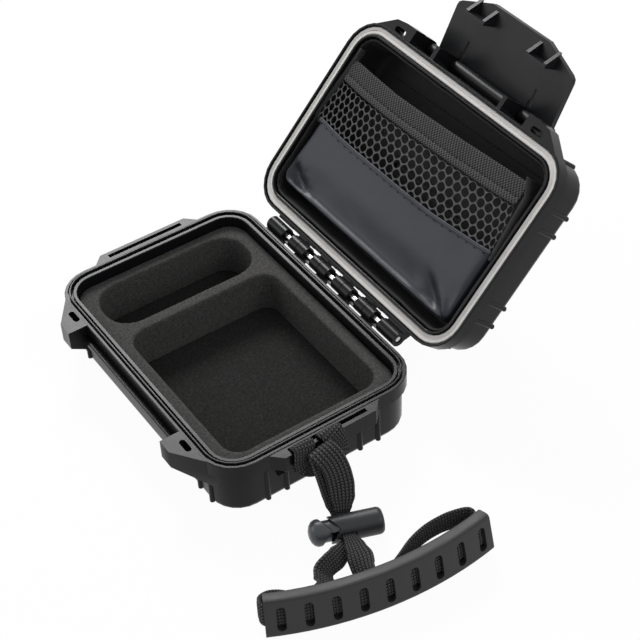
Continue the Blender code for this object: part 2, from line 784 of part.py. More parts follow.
# Lid liner, its piping and the pocket
liner_profile = [
    (LINER_OUT - 2.0, LID_TOP_Z - LID_TOP_THICK - GAP),
    (LINER_OUT, LID_TOP_Z - LID_TOP_THICK - GAP - 2.0),
    (LINER_OUT, PARTING_Z + LINER_RIM_UP),
    (LINER_OUT - LINER_THICK, PARTING_Z + LINER_RIM_UP),
    (LINER_OUT - LINER_THICK, LID_TOP_Z - LID_TOP_THICK - GAP - LINER_THICK - 1.5),
    (LINER_OUT - LINER_THICK - 1.5, LID_TOP_Z - LID_TOP_THICK - GAP - LINER_THICK),
]
lid_liner = stacked("lid_liner", [case_ring(grow, z) for grow, z in liner_profile], LINER)
piping_z = PARTING_Z + LINER_RIM_UP - GAP - PIPING_RADIUS
piping_curve = bpy.data.curves.new("liner_piping", "CURVE")
piping_curve.dimensions = "3D"
piping_curve.bevel_depth = PIPING_RADIUS * MM
piping_curve.bevel_resolution = 1
piping_route = case_ring(LINER_OUT - 0.4, piping_z)
piping_line = piping_curve.splines.new("POLY")
piping_line.points.add(len(piping_route) - 1)
for spot, (x, y, z) in zip(piping_line.points, piping_route):
    spot.co = (x * MM, y * MM, z * MM, 1.0)
piping_line.use_cyclic_u = True
piping_line.use_smooth = True
liner_piping = bpy.data.objects.new("liner_piping", piping_curve)
piping_curve.materials.append(PANEL)
PARTS.objects.link(liner_piping)

panel_middle = ((PANEL_X[0] + PANEL_X[1]) / 2, (PANEL_Y[0] + PANEL_Y[1]) / 2)
panel_half = ((PANEL_X[1] - PANEL_X[0]) / 2, (PANEL_Y[1] - PANEL_Y[0]) / 2)


def panel_ring(grow, z):
    """The outline of the pocket's cloth panel grown by a distance."""
    outline = oblong(*panel_middle, panel_half[0] + grow, panel_half[1] + grow, PANEL_RADIUS + grow)
    return [(x, y, z) for x, y in outline]


panel_z = PARTING_Z + PANEL_UP
liner_back_z = LID_TOP_Z - LID_TOP_THICK - GAP - LINER_THICK
panel_end_z = liner_back_z - GAP
panel_profile = [
    (-3.0, panel_z - 0.4),
    (-1.0, panel_z),
    (0.0, panel_z + 1.2),
    (0.0, panel_end_z),
    (-PANEL_THICK, panel_end_z),
    (-PANEL_THICK, panel_z + 1.6),
    (-1.8, panel_z + PANEL_THICK),
    (-3.4, panel_z + PANEL_THICK - 0.4),
]
pocket_panel = stacked("pocket_panel", [panel_ring(grow, z) for grow, z in panel_profile], PANEL)
panel_trim = block(
    "panel_trim",
    (PANEL_X[0] + 3.0, PANEL_Y[0] - 3.0, panel_z + PANEL_THICK + 0.8),
    (PANEL_X[1] - 3.0, PANEL_Y[0] + 6.0, panel_end_z + 1.0),
)
cut(pocket_panel, [panel_trim])

# The net: diamonds from a square grid turned by 45 degrees, each inset and opened
net_work = bmesh.new()
net_middle = ((BAND_X[0] + BAND_X[1]) / 2, (NET_Y[0] + NET_Y[1]) / 2)
net_side = max(NET_COLUMNS, NET_ROWS) + 2
bmesh.ops.create_grid(net_work, x_segments=net_side, y_segments=net_side, size=net_side / 2)
quarter = Matrix.Rotation(math.radians(45.0), 3, "Z")
bmesh.ops.rotate(net_work, verts=net_work.verts[:], matrix=quarter)
root_half = math.sqrt(0.5)
outside = []
for face in net_work.faces:
    spot = face.calc_center_median()
    column = abs(spot.x) / root_half
    row = abs(spot.y) / root_half
    if column > NET_COLUMNS / 2 + 0.1 or row > NET_ROWS / 2 + 0.1:
        outside.append(face)
bmesh.ops.delete(net_work, geom=outside, context="FACES")
net_pitch_x = (BAND_X[1] - BAND_X[0]) / (NET_COLUMNS / 2 + 1)
net_pitch_y = (NET_Y[1] - NET_Y[0]) / (NET_ROWS / 2 + 1)
stretch = (net_pitch_x / 2 / root_half, net_pitch_y / 2 / root_half, 1.0)
bmesh.ops.scale(net_work, vec=stretch, verts=net_work.verts[:])
gaps = net_work.faces[:]
net_gap_count = len(gaps)
bmesh.ops.inset_individual(net_work, faces=gaps, thickness=NET_STRAND / 2, use_even_offset=True)
bmesh.ops.delete(net_work, geom=gaps, context="FACES")
net_shift = (*net_middle, PARTING_Z + NET_UP)
bmesh.ops.translate(net_work, vec=net_shift, verts=net_work.verts[:])
pocket_mesh = solid_from(net_work, "pocket_mesh", NET)
net_wall = pocket_mesh.modifiers.new("net_thickness", "SOLIDIFY")
net_wall.thickness = NET_THICK * MM
net_wall.offset = 0.0
print("net gaps", net_gap_count)

band_middle = ((BAND_X[0] + BAND_X[1]) / 2, (BAND_Y[0] + BAND_Y[1]) / 2)
band_half = ((BAND_X[1] - BAND_X[0]) / 2, (BAND_Y[1] - BAND_Y[0]) / 2)
band_outline = oblong(*band_middle, *band_half, 1.5, 2)
band_low = PARTING_Z + BAND_UP
pocket_band = stacked(
    "pocket_band",
    [[(x, y, z) for x, y in band_outline] for z in (band_low, band_low + BAND_THICK)],
    BAND,
)
liner_in_x = INNER_X + LINER_OUT - LINER_THICK
pocket_sides = []
for side, word in ((-1, "left"), (1, "right")):
    low_x, high_x = sorted((side * (BAND_X[1] + GAP), side * (liner_in_x - GAP)))
    pocket_sides.append(
        block(
            f"pocket_side_{word}",
            (low_x, BAND_Y[0], PARTING_Z + BAND_UP + 0.2),
            (high_x, NET_Y[1], liner_back_z - GAP - 1.7),
            PANEL,
        )
    )
lid_pieces += [lid_liner, liner_piping, pocket_panel, panel_trim, pocket_mesh, pocket_band]
lid_pieces += pocket_sides
pivoted(lid_pieces, LID_PIVOT, LID_ORIGIN)

# Latch flap
plate_in = LATCH_Y - FLAP_IN
plate_out = plate_in - FLAP_THICK
flap_half = [
    (FLAP_TIP_X, LATCH_Z - FLAP_LONG),
    (FLAP_HALF_X - 2.4, LATCH_Z - FLAP_SQUARE - 0.9),
    (FLAP_HALF_X - 0.5, LATCH_Z - FLAP_SQUARE + 0.5),
    (FLAP_HALF_X, LATCH_Z - FLAP_SQUARE + 2.4),
    (FLAP_HALF_X, LATCH_Z + FLAP_TOP),
]
flap_outline = [(-x, z) for x, z in reversed(flap_half)] + flap_half
latch_flap = stacked(
    "latch_flap",
    [[(x, y, z) for x, z in flap_outline] for y in (plate_in, plate_out)],
    LATCH,
)
latch_more = [
    rod(
        "flap_barrel",
        (-FLAP_HALF_X + 0.05, LATCH_Y, LATCH_Z),
        (FLAP_HALF_X - 0.05, LATCH_Y, LATCH_Z),
        BARREL_RADIUS,
    ),
    block(
        "flap_root",
        (-FLAP_HALF_X + 0.1, plate_in - 1.0, LATCH_Z - 2.0),
        (FLAP_HALF_X - 0.1, LATCH_Y, LATCH_Z + 2.0),
    ),
    slab_x(
        "flap_lip",
        [
            (plate_out + 1.0, LATCH_Z - FLAP_LONG + 3.4),
            (plate_out + 1.0, LATCH_Z - FLAP_LONG + 0.02),
            (plate_out - 0.7, LATCH_Z - FLAP_LONG + 0.02),
            (plate_out - 1.0, LATCH_Z - FLAP_LONG + 0.6),
        ],
        -FLAP_TIP_X + 0.6,
        FLAP_TIP_X - 0.6,
    ),
]
hook_top = PARTING_Z - RAIL_LOW - GAP
hook_low = hook_top - HOOK_THICK
hook_y = LATCH_Y + HOOK_REACH
gusset = [
    (plate_in - 0.8, hook_low + 0.4),
    (hook_y - 0.3, hook_low + 0.4),
    (hook_y - 0.3, hook_low - 0.5),
    (plate_in - 0.8, hook_low - GUSSET_LONG),
]
for side in (-1, 1):
    low_x, high_x = sorted((side * HOOK_IN_X, side * HOOK_OUT_X))
    latch_more.append(block(f"hook_{side}", (low_x, plate_in - 0.8, hook_low), (high_x, hook_y, hook_top)))
    for start in (low_x + 0.02, high_x - GUSSET_THICK - 0.02):
        latch_more.append(slab_x(f"gusset_{side}_{start:.0f}", gusset, start, start + GUSSET_THICK))
join(latch_flap, latch_more)
latch_cuts = [
    rod(
        "latch_bore_flap",
        (-FLAP_HALF_X - 2.0, LATCH_Y, LATCH_Z),
        (FLAP_HALF_X + 2.0, LATCH_Y, LATCH_Z),
        LATCH_PIN_RADIUS + BORE_GAP,
        14,
    )
]
for side in (-1, 1):
    low_x, high_x = sorted((side * (LUG_IN_X - 2 * GAP), side * (LUG_IN_X + LUG_WIDE + 2 * GAP)))
    latch_cuts.append(
        block(
            f"lug_gap_{side}",
            (low_x, plate_in - 0.3, LATCH_Z - 7.0),
            (high_x, LATCH_Y + 8.0, LATCH_Z + 8.0),
        )
    )
    low_x, high_x = sorted((side * (LUG_IN_X + 0.4), side * (LUG_IN_X + LUG_WIDE - 0.6)))
    latch_cuts.append(
        block(
            f"flap_slot_{side}",
            (low_x, plate_out - 1.0, LATCH_Z - 13.0),
            (high_x, plate_in + 1.0, LATCH_Z - 3.0),
        )
    )
cut(latch_flap, latch_cuts)
pivoted([latch_flap] + latch_more + latch_cuts, LATCH_PIVOT, LATCH_ORIGIN)


def smooth_rows(rows, per_span):
    """Rows of numbers read from a smooth curve through the rows given."""
    count = len(rows)
    read = []
    for index in range(count - 1):
        before = rows[max(index - 1, 0)]
        here = rows[index]
        there = rows[index + 1]
        after = rows[min(index + 2, count - 1)]
        for step in range(per_span):
            t = step / per_span
            row = []
            for p, a, b, n in zip(before, here, there, after):
                bend = 2 * p - 5 * a + 4 * b - n
                twist = 3 * a - p - 3 * b + n
                row.append(0.5 * (2 * a + (b - p) * t + bend * t * t + twist * t * t * t))
            read.append(row)
    read.append(list(rows[-1]))
    return read


STRAP_CORNERS = (
    (1, 0.4),
    (0.86, 1),
    (-0.86, 1),
    (-1, 0.4),
    (-1, -0.4),
    (-0.86, -1),
    (0.86, -1),
    (1, -0.4),
)


def strap(name, rows, per_span, paint=BRAID):
    """A flat strap lofted along rows of x, y, z, width, thickness and its three width directions."""
    read = smooth_rows(rows, per_span)
    spots = [Vector(row[:3]) for row in read]
    rings = []
    for index, row in enumerate(read):
        ahead = spots[min(index + 1, len(spots) - 1)]
        behind = spots[max(index - 1, 0)]
        along = (ahead - behind).normalized()
        across = Vector(row[5:8])
        across = (across - along * across.dot(along)).normalized()
        face = along.cross(across)
        half_wide = row[3] / 2
        half_thick = row[4] / 2
        ring = []
        for u, v in STRAP_CORNERS:
            ring.append(spots[index] + across * (u * half_wide) + face * (v * half_thick))
        rings.append(ring)
    length = sum((b - a).length for a, b in zip(spots, spots[1:]))
    print(name, "length", round(length, 1), "mm")
    return stacked(name, rings, paint, True)


# Cord lock
LOCK_AXIS = Vector((math.cos(math.radians(LOCK_ANGLE)), math.sin(math.radians(LOCK_ANGLE)), 0.0))
LOCK_PASS = Vector((LOCK_AXIS.y, -LOCK_AXIS.x, 0.0))
LOCK_SPOT = Vector((LOCK_X, LOCK_Y, LOCK_Z))


def lock_point(along, passing, up):
    """A point by its distances from the middle of the lock's hole."""
    return LOCK_SPOT + LOCK_AXIS * along + LOCK_PASS * passing + Vector((0.0, 0.0, up))


def lock_rings(pairs, sides=24, squash=1.0):
    """Round rings along the lock's axis from (distance, radius) pairs."""
    rings = []
    for along, radius in pairs:
        ring = []
        for step in range(sides):
            angle = 2 * math.pi * step / sides
            ring.append(lock_point(along, radius * math.cos(angle) * squash, radius * math.sin(angle)))
        rings.append(ring)
    return rings


def lock_block(name, low_along, high_along, half_up):
    """A box through the lock along the way the strap passes."""
    corners = ((low_along, -half_up), (high_along, -half_up), (high_along, half_up), (low_along, half_up))
    reach = LOCK_RADIUS + 3.0
    rings = [[lock_point(along, passing, up) for along, up in corners] for passing in (-reach, reach)]
    return stacked(name, rings)


def lock_wedge(name, outline):
    """A prism across the lock from (distance, sideways) points, rolled to face up and out."""
    roll = math.radians(NOTCH_ROLL)
    reach = LOCK_RADIUS + 3.0
    rings = []
    for depth in (-reach, reach):
        ring = []
        for along, sideways in outline:
            passing = depth * math.cos(roll) - sideways * math.sin(roll)
            up = depth * math.sin(roll) + sideways * math.cos(roll)
            ring.append(lock_point(along, passing, up))
        rings.append(ring)
    return stacked(name, rings)


cord_lock_body = stacked(
    "cord_lock_body",
    lock_rings(
        [
            (LOCK_FRONT, LOCK_RADIUS),
            (LOCK_BACK - LOCK_END_ROUND, LOCK_RADIUS),
            (LOCK_BACK - 0.5 * LOCK_END_ROUND, LOCK_RADIUS - 0.13 * LOCK_END_ROUND),
            (LOCK_BACK - 0.13 * LOCK_END_ROUND, LOCK_RADIUS - 0.5 * LOCK_END_ROUND),
            (LOCK_BACK, LOCK_RADIUS - LOCK_END_ROUND),
        ]
    ),
    LOCK,
)
wedge_wide = LOCK_RADIUS + 3.0
wedge_fall = NOTCH_SLOPE * wedge_wide
cut(
    cord_lock_body,
    [
        stacked("lock_bore", lock_rings([(LOCK_FRONT - 2.0, LOCK_BORE), (LOCK_BORE_END, LOCK_BORE)], 20)),
        lock_block("lock_hole", -LOCK_HOLE_HALF, LOCK_HOLE_HALF, LOCK_HOLE_TALL),
        lock_wedge(
            "lock_notch",
            [(NOTCH_TIP, 0.0), (NOTCH_TIP - wedge_fall, wedge_wide), (NOTCH_TIP - wedge_fall, -wedge_wide)],
        ),
    ],
)
plunger = LOCK_BORE - GAP
button_cap = stacked(
    "button_cap",
    lock_rings(
        [
            (BUTTON_CAP_TIP + 1.0, BUTTON_CAP_RADIUS),
            (BUTTON_SHOULDER, BUTTON_CAP_RADIUS),
            (BUTTON_SHOULDER - 1.5, BUTTON_CAP_RADIUS - 0.7),
            (BUTTON_SHOULDER - 2.7, BUTTON_CAP_RADIUS - 2.2),
            (BUTTON_TIP, BUTTON_CAP_RADIUS - 4.2),
        ]
    ),
)
cut(
    button_cap,
    [
        lock_wedge(
            "cap_back",
            [
                (BUTTON_CAP_TIP, 0.0),
                (BUTTON_CAP_TIP - wedge_fall, wedge_wide),
                (BUTTON_END, wedge_wide),
                (BUTTON_END, -wedge_wide),
                (BUTTON_CAP_TIP - wedge_fall, -wedge_wide),
            ],
        )
    ],
)
cord_lock_button = stacked(
    "cord_lock_button",
    lock_rings([(BUTTON_END, plunger), (BUTTON_SHOULDER, plunger)], 20),
    LOCK,
)
join(cord_lock_button, [button_cap])
button_hole_front = -LOCK_HOLE_HALF - BUTTON_TRAVEL - 0.2
cut(
    cord_lock_button,
    [lock_block("button_hole", button_hole_front, LOCK_HOLE_HALF, LOCK_HOLE_TALL + 0.2)],
)
spring_low = BUTTON_END + GAP + SPRING_WIRE
spring_high = LOCK_BORE_END - GAP - SPRING_WIRE
spring_points = []
spring_count = SPRING_TURNS * 9
for step in range(spring_count + 1):
    share = step / spring_count
    angle = 2 * math.pi * SPRING_TURNS * share
    along = spring_low + (spring_high - spring_low) * share
    spring_points.append(
        lock_point(along, SPRING_RADIUS * math.cos(angle), SPRING_RADIUS * math.sin(angle))
    )
spring_gap = min(
    (a - b).length
    for i, a in enumerate(spring_points)
    for b in spring_points[i + 5 :]
)
print("spring least gap", round(spring_gap - 2 * SPRING_WIRE, 2), "mm")
spring_curve = bpy.data.curves.new("cord_lock_spring", "CURVE")
spring_curve.dimensions = "3D"
spring_curve.bevel_depth = SPRING_WIRE * MM
spring_curve.bevel_resolution = 1
spring_curve.use_fill_caps = True
spring_line = spring_curve.splines.new("POLY")
spring_line.points.add(len(spring_points) - 1)
for spot, point in zip(spring_line.points, spring_points):
    spot.co = (*(point * MM), 1.0)
cord_lock_spring = bpy.data.objects.new("cord_lock_spring", spring_curve)
spring_curve.materials.append(STEEL)
PARTS.objects.link(cord_lock_spring)

# Strap hitched on the loop: two wraps round the bar and the fold across their front
wrap_in = LOOP_SLOT_OUT_X - GAP
wrap_out = LOOP_OUT_X + GAP
wrap_low = LOOP_LOW_Z - GAP
wrap_high = LOOP_TOP_Z + GAP
wrap_middle = ((wrap_in + wrap_out) / 2, (wrap_low + wrap_high) / 2)
wrap_half = ((wrap_out - wrap_in) / 2, (wrap_high - wrap_low) / 2)


def wrap_outline(grow, corner):
    """The (x, z) outline round the loop's bar."""
    return oblong(*wrap_middle, wrap_half[0] + grow, wrap_half[1] + grow, corner, 3)


hitch_ends = (HITCH_LOW_Y, HITCH_LOW_Y + HITCH_WIDE, HITCH_HIGH_Y, HITCH_HIGH_Y + HITCH_WIDE)
wrap_shape = wrap_outline(STRAP_THICK, 1.5)
strap_hitch = stacked(
    "strap_hitch",
    [[(x, y, z) for x, z in wrap_shape] for y in hitch_ends[:2]],
    BRAID,
)
hitch_second = slab_y("hitch_second", wrap_shape, *hitch_ends[2:])
hitch_holes = [
    slab_y("hitch_hole_a", wrap_outline(0.0, 0.4), HITCH_LOW_Y - 1.0, hitch_ends[1] + 1.0),
    slab_y("hitch_hole_b", wrap_outline(0.0, 0.4), HITCH_HIGH_Y - 1.0, hitch_ends[3] + 1.0),
]
face_x = wrap_out + STRAP_THICK / 2
hitch_fold = strap(
    "hitch_fold",
    [
        (face_x, HITCH_LOW_Y + 3.0, 24.6, 8.0, STRAP_THICK, 0.0, 0.25, 1.0),
        (face_x + 0.6, HITCH_LOW_Y + 8.0, 23.2, 8.4, STRAP_THICK, 0.0, 0.25, 1.0),
        (face_x + 3.0, -6.5, 22.4, 9.0, STRAP_THICK, 0.35, 0.1, 1.0),
        (face_x + 3.6, -2.5, 22.6, 9.0, STRAP_THICK, 0.35, 0.0, 1.0),
        (face_x + 1.0, 2.0, 24.0, 8.4, STRAP_THICK, 0.0, -0.2, 1.0),
        (face_x, HITCH_HIGH_Y + 6.0, 25.0, 8.0, STRAP_THICK, 0.0, -0.2, 1.0),
    ],
    3,
    None,
)
join(strap_hitch, [hitch_second, hitch_fold])
cut(strap_hitch, hitch_holes)

# Strap legs through the lock


def away_row(away, y, z, wide, axis):
    """A strap row at a distance out from the strap loop."""
    return (LOOP_OUT_X + away, y, z, wide, STRAP_THICK, *axis)


pass_up = (STRAP_THICK + GAP) / 2
lock_wide = tuple(LOCK_AXIS)


def leg(name, up, top_rows):
    """One leg of the strap, from below the hitch to just past the lock."""
    rows = list(top_rows)
    for along, passing, apart, wide in (
        (0.5, -LOCK_RADIUS - 11.5, 1.6, 11.4),
        (0.7, -LOCK_RADIUS - 5.0, 1.2, 10.4),
        (0.0, -LOCK_RADIUS, 1.0, STRAP_IN_LOCK),
        (0.0, LOCK_RADIUS - 2.6, 1.0, STRAP_IN_LOCK),
    ):
        spot = lock_point(along, passing, up * apart)
        rows.append((*spot, wide, STRAP_THICK, *lock_wide))
    return strap(name, rows, 4)


strap_leg_front = leg(
    "strap_leg_front",
    pass_up,
    [
        away_row(5.7, -2.8, 20.0, STRAP_WIDE, (0.25, 0.97, 0.0)),
        away_row(8.1, -3.0, 17.0, STRAP_WIDE, (0.25, 0.97, 0.0)),
        away_row(9.9, -3.6, 13.2, STRAP_WIDE, (0.3, 0.95, 0.0)),
    ],
)
strap_leg_back = leg(
    "strap_leg_back",
    -pass_up,
    [
        away_row(3.45, -6.4, 17.84, STRAP_WIDE, (0.25, 0.97, 0.0)),
        away_row(7.1, -7.2, 11.2, STRAP_WIDE, (0.3, 0.95, 0.0)),
    ],
)

# Hand grip
end_a = Vector((LOOP_OUT_X + GRIP_END_A[0], GRIP_END_A[1], 0.0))
end_b = Vector((LOOP_OUT_X + GRIP_END_B[0], GRIP_END_B[1], 0.0))
chord = (end_b - end_a).length
GRIP_RADIUS = (chord * chord / 4 + GRIP_SAGITTA * GRIP_SAGITTA) / (2 * GRIP_SAGITTA)
GRIP_TURN = math.asin(chord / 2 / GRIP_RADIUS)
grip_along = (end_b - end_a).normalized()
grip_out = Vector((grip_along.y, -grip_along.x, 0.0))
grip_centre = (end_a + end_b) / 2 - grip_out * (GRIP_RADIUS - GRIP_SAGITTA)
LEAN_SIN = math.sin(math.radians(GRIP_LEAN))
LEAN_COS = math.cos(math.radians(GRIP_LEAN))


def grip_frame(turn):
    """The front foot of the grip at an angle along its arc, with its inward and upward directions."""
    radial = grip_out * math.cos(turn) + grip_along * math.sin(turn)
    foot = grip_centre + radial * GRIP_RADIUS + Vector((0.0, 0.0, GRIP_RAISE))
    inward = radial * -LEAN_COS - Vector((0.0, 0.0, LEAN_SIN))
    upward = radial * -LEAN_SIN + Vector((0.0, 0.0, LEAN_COS))
    return foot, inward, upward


def grip_section(turn, outline):
    """An outline of (depth, height) points set on the grip's arc."""
    foot, inward, upward = grip_frame(turn)
    return [foot + inward * depth + upward * height for depth, height in outline]


def grip_sweep(name, outline, reach, steps, paint=None):
    """An outline swept along the grip's arc, past its ends by the reach given."""
    most = GRIP_TURN + reach / GRIP_RADIUS
    turns = [most * (2 * step / steps - 1) for step in range(steps + 1)]
    return stacked(name, [grip_section(turn, outline) for turn in turns], paint)


grip_outer = oblong(
    GRIP_THICK / 2, GRIP_TALL / 2, GRIP_THICK / 2, GRIP_TALL / 2, GRIP_CORNER, 2
)
cavity_depth = GRIP_FRONT_WALL + GRIP_CAVITY_THICK / 2
grip_inner = oblong(
    cavity_depth, GRIP_TALL / 2, GRIP_CAVITY_THICK / 2, GRIP_CAVITY_TALL / 2, 0.8, 1
)
hand_grip = grip_sweep("hand_grip", grip_outer, 0.0, 18, GRIP)
grip_cuts = [grip_sweep("grip_cavity", grip_inner, 2.0, 18)]
notch = [
    (cavity_depth, GRIP_TALL / 2 - GRIP_CAVITY_TALL / 2 + 0.2),
    (GRIP_THICK + 3.0, GRIP_TALL / 2 - GRIP_CAVITY_TALL / 2 + 0.2),
    (GRIP_THICK + 3.0, GRIP_TALL / 2 + GRIP_CAVITY_TALL / 2 - 0.2),
    (cavity_depth, GRIP_TALL / 2 + GRIP_CAVITY_TALL / 2 - 0.2),
]
for side in (-1, 1):
    turns = [side * (GRIP_TURN + reach / GRIP_RADIUS) for reach in (-GRIP_NOTCH, 1.0)]
    grip_cuts.append(stacked(f"grip_notch_{side}", [grip_section(turn, notch) for turn in turns]))
for index in range(GRIP_SLOTS):
    place = (index - (GRIP_SLOTS - 1) / 2) * GRIP_SLOT_PITCH + GRIP_SLOT_SHIFT
    turn = place / GRIP_RADIUS
    foot, inward, upward = grip_frame(turn)
    sideways = upward.cross(inward)
    outline = oblong(
        0.0,
        GRIP_TALL / 2 - GRIP_SLOT_DROP,
        GRIP_SLOT_WIDE / 2,
        GRIP_SLOT_TALL / 2,
        GRIP_SLOT_WIDE / 2 - 0.01,
        3,
    )
    rings = []
    for depth in (-3.0, GRIP_FRONT_WALL + 0.9):
        rings.append([foot + inward * depth + sideways * x + upward * y for x, y in outline])
    grip_cuts.append(stacked(f"grip_slot_{index}", rings))
cut(hand_grip, grip_cuts)


def grip_row(side, reach, depth):
    """A strap row at a distance past one end of the grip and at a depth behind its front face."""
    foot, inward, upward = grip_frame(side * (GRIP_TURN + reach / GRIP_RADIUS))
    spot = foot + inward * depth + upward * (GRIP_TALL / 2)
    return (*spot, STRAP_WIDE, STRAP_THICK, *(upward * side))


def grip_turn_rows(side):
    """The strap's way round one end of the grip, from its back into its mouth."""
    way = (
        (-9.0, GRIP_THICK + 1.6),
        (-0.9, GRIP_THICK + 1.5),
        (0.7, GRIP_THICK - 0.4),
        (0.4, cavity_depth + 1.1),
        (-2.2, cavity_depth),
    )
    return [grip_row(side, reach, depth) for reach, depth in way]


inside_rows = []
inside_turn = GRIP_TURN - (2.5 + GAP) / GRIP_RADIUS
for step in range(9):
    foot, inward, upward = grip_frame(inside_turn * (step / 4 - 1))
    spot = foot + inward * cavity_depth + upward * (GRIP_TALL / 2)
    inside_rows.append((*spot, STRAP_WIDE, STRAP_THICK, *upward))
strap_in_grip = strap("strap_in_grip", inside_rows, 2)

# Strap tails from the lock to the two ends of the grip


def tail_rows(up):
    """The first rows of a tail, straight out of the lock."""
    rows = []
    for beyond, apart in ((GAP - 2.6, 1.0), (-0.7, 1.1), (0.9, 1.6)):
        spot = lock_point(0.0, LOCK_RADIUS + beyond, up * apart)
        rows.append((*spot, STRAP_IN_LOCK, STRAP_THICK, *lock_wide))
    return rows


strap_tail_left = strap(
    "strap_tail_left",
    [
        *tail_rows(-pass_up),
        away_row(39.5, -22.0, 4.8, 7.8, (0.3, 0.6, -0.6)),
        away_row(42.5, -29.5, 6.2, STRAP_WIDE, (0.2, 0.1, -1.0)),
        away_row(48.1, -38.0, 6.6, STRAP_WIDE, (0.1, 0.0, -1.0)),
        away_row(51.1, -48.0, 7.6, STRAP_WIDE, (0.1, 0.0, -1.0)),
        *grip_turn_rows(-1),
    ],
    4,
)
strap_tail_right = strap(
    "strap_tail_right",
    [
        *tail_rows(pass_up),
        away_row(42.9, -18.4, 8.8, 7.4, (0.2, 0.95, 0.25)),
        away_row(49.5, -20.2, 8.0, STRAP_WIDE, (0.1, 0.6, 0.8)),
        away_row(57.1, -17.6, 7.0, STRAP_WIDE, (0.0, 0.0, 1.0)),
        away_row(59.7, -8.0, 7.8, STRAP_WIDE, (0.0, 0.0, 1.0)),
        away_row(55.9, 1.0, 8.3, STRAP_WIDE, (0.0, 0.0, 1.0)),
        away_row(54.5, 9.4, 9.2, STRAP_WIDE, (0.0, 0.0, 1.0)),
        away_row(55.1, 17.2, 10.0, STRAP_WIDE, (0.0, 0.0, 1.0)),
        away_row(56.5, 23.6, 10.4, STRAP_WIDE, (-0.05, 0.0, 1.0)),
        away_row(59.7, 30.0, 10.8, STRAP_WIDE, (-0.1, 0.0, 1.0)),
        *grip_turn_rows(1)[1:],
    ],
    4,
)
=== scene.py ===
"""Looks of the small hinged hard case: shells, seal, lining, net, foam, braided strap, camera and light.

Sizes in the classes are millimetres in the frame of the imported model; meshes are written in metres.
"""

import logging
import math
from contextlib import contextmanager
from dataclasses import dataclass, field
from enum import Enum
from typing import Any, Callable, Iterator, Mapping, Sequence

import bpy
import numpy as np
from mathutils import Matrix, Vector, noise


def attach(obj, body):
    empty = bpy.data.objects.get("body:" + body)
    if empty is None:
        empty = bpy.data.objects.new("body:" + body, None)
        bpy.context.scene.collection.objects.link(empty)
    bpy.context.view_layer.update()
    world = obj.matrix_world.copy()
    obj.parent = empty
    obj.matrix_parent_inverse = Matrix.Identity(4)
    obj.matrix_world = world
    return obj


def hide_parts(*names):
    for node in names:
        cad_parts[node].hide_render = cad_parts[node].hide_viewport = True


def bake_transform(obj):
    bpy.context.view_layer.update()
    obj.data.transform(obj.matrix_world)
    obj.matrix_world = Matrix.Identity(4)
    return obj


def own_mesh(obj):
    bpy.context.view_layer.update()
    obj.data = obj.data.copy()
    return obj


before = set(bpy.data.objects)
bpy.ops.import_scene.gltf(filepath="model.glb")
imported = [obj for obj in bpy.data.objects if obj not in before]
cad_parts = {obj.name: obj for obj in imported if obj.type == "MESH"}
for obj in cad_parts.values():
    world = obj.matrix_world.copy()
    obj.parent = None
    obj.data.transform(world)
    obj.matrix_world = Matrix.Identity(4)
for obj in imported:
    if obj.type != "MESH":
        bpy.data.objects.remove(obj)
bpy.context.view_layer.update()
MM = 0.001
LOG = logging.getLogger("hard_case")
Point = Sequence[float]


class Body(str, Enum):
    """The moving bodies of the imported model."""

    BASE = "base"
    LID = "lid"
    LATCH = "latch"
    LOCK = "cord_lock"
    BUTTON = "lock_button"


class Slot(str, Enum):
    """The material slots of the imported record."""

    SHELL = "black_shell_plastic"
    LATCH = "black_latch_plastic"
    PIN = "steel_pin"
    SEAL = "white_seal_rubber"
    FOAM = "charcoal_foam"
    LINING = "black_lining"
    COATED = "black_coated_cloth"
    NET = "black_net"
    ELASTIC = "black_elastic"
    BRAID = "black_braid"
    LOCK = "black_lock_plastic"
    GRIP = "black_grip_rubber"


# Shader writing


class Wire:
    """One output of a shader, with sums that add Math nodes."""

    def __init__(self, shader: "Shader", socket: bpy.types.NodeSocket) -> None:
        """Holds a socket of a shader."""
        self.shader = shader
        self.socket = socket

    def math(self, operation: str, *values: Any) -> "Wire":
        """One Math node.

        Args:
            operation: the node's operation.
            values: its inputs in order, wires or numbers.
        Returns:
            The node's value.
        """
        inputs = dict(enumerate(values))
        return self.shader.node("ShaderNodeMath", {"operation": operation}, inputs)["Value"]

    def __add__(self, other: Any) -> "Wire":
        """Sum."""
        return self.math("ADD", self, other)

    def __radd__(self, other: Any) -> "Wire":
        """Sum with a number first."""
        return self.math("ADD", other, self)

    def __sub__(self, other: Any) -> "Wire":
        """Difference."""
        return self.math("SUBTRACT", self, other)

    def __rsub__(self, other: Any) -> "Wire":
        """Difference from a number."""
        return self.math("SUBTRACT", other, self)

    def __mul__(self, other: Any) -> "Wire":
        """Product."""
        return self.math("MULTIPLY", self, other)

    def __truediv__(self, other: Any) -> "Wire":
        """Quotient."""
        return self.math("DIVIDE", self, other)

    def __abs__(self) -> "Wire":
        """Size without its sign."""
        return self.math("ABSOLUTE", self)

    def wave(self, length: float) -> "Wire":
        """A sine of this value with the wave length given."""
        return self.math("SINE", self * (2.0 * math.pi / length))

    def saw(self, length: float) -> "Wire":
        """How far this value is along its own step, from 0 to 1."""
        return self.math("FRACT", self / length)

    def at_least(self, other: Any) -> "Wire":
        """The larger of two values."""
        return self.math("MAXIMUM", self, other)

    def step(self, edge: float) -> "Wire":
        """One where this value is above the edge."""
        return self.math("GREATER_THAN", self, edge)


class Made:
    """A node that a shader has made."""

    def __init__(self, shader: "Shader", node: bpy.types.Node) -> None:
        """Holds a node of a shader."""
        self.shader = shader
        self.node = node

    def __getitem__(self, name: str) -> Wire:
        """The output of that name."""
        return Wire(self.shader, self.node.outputs[name])


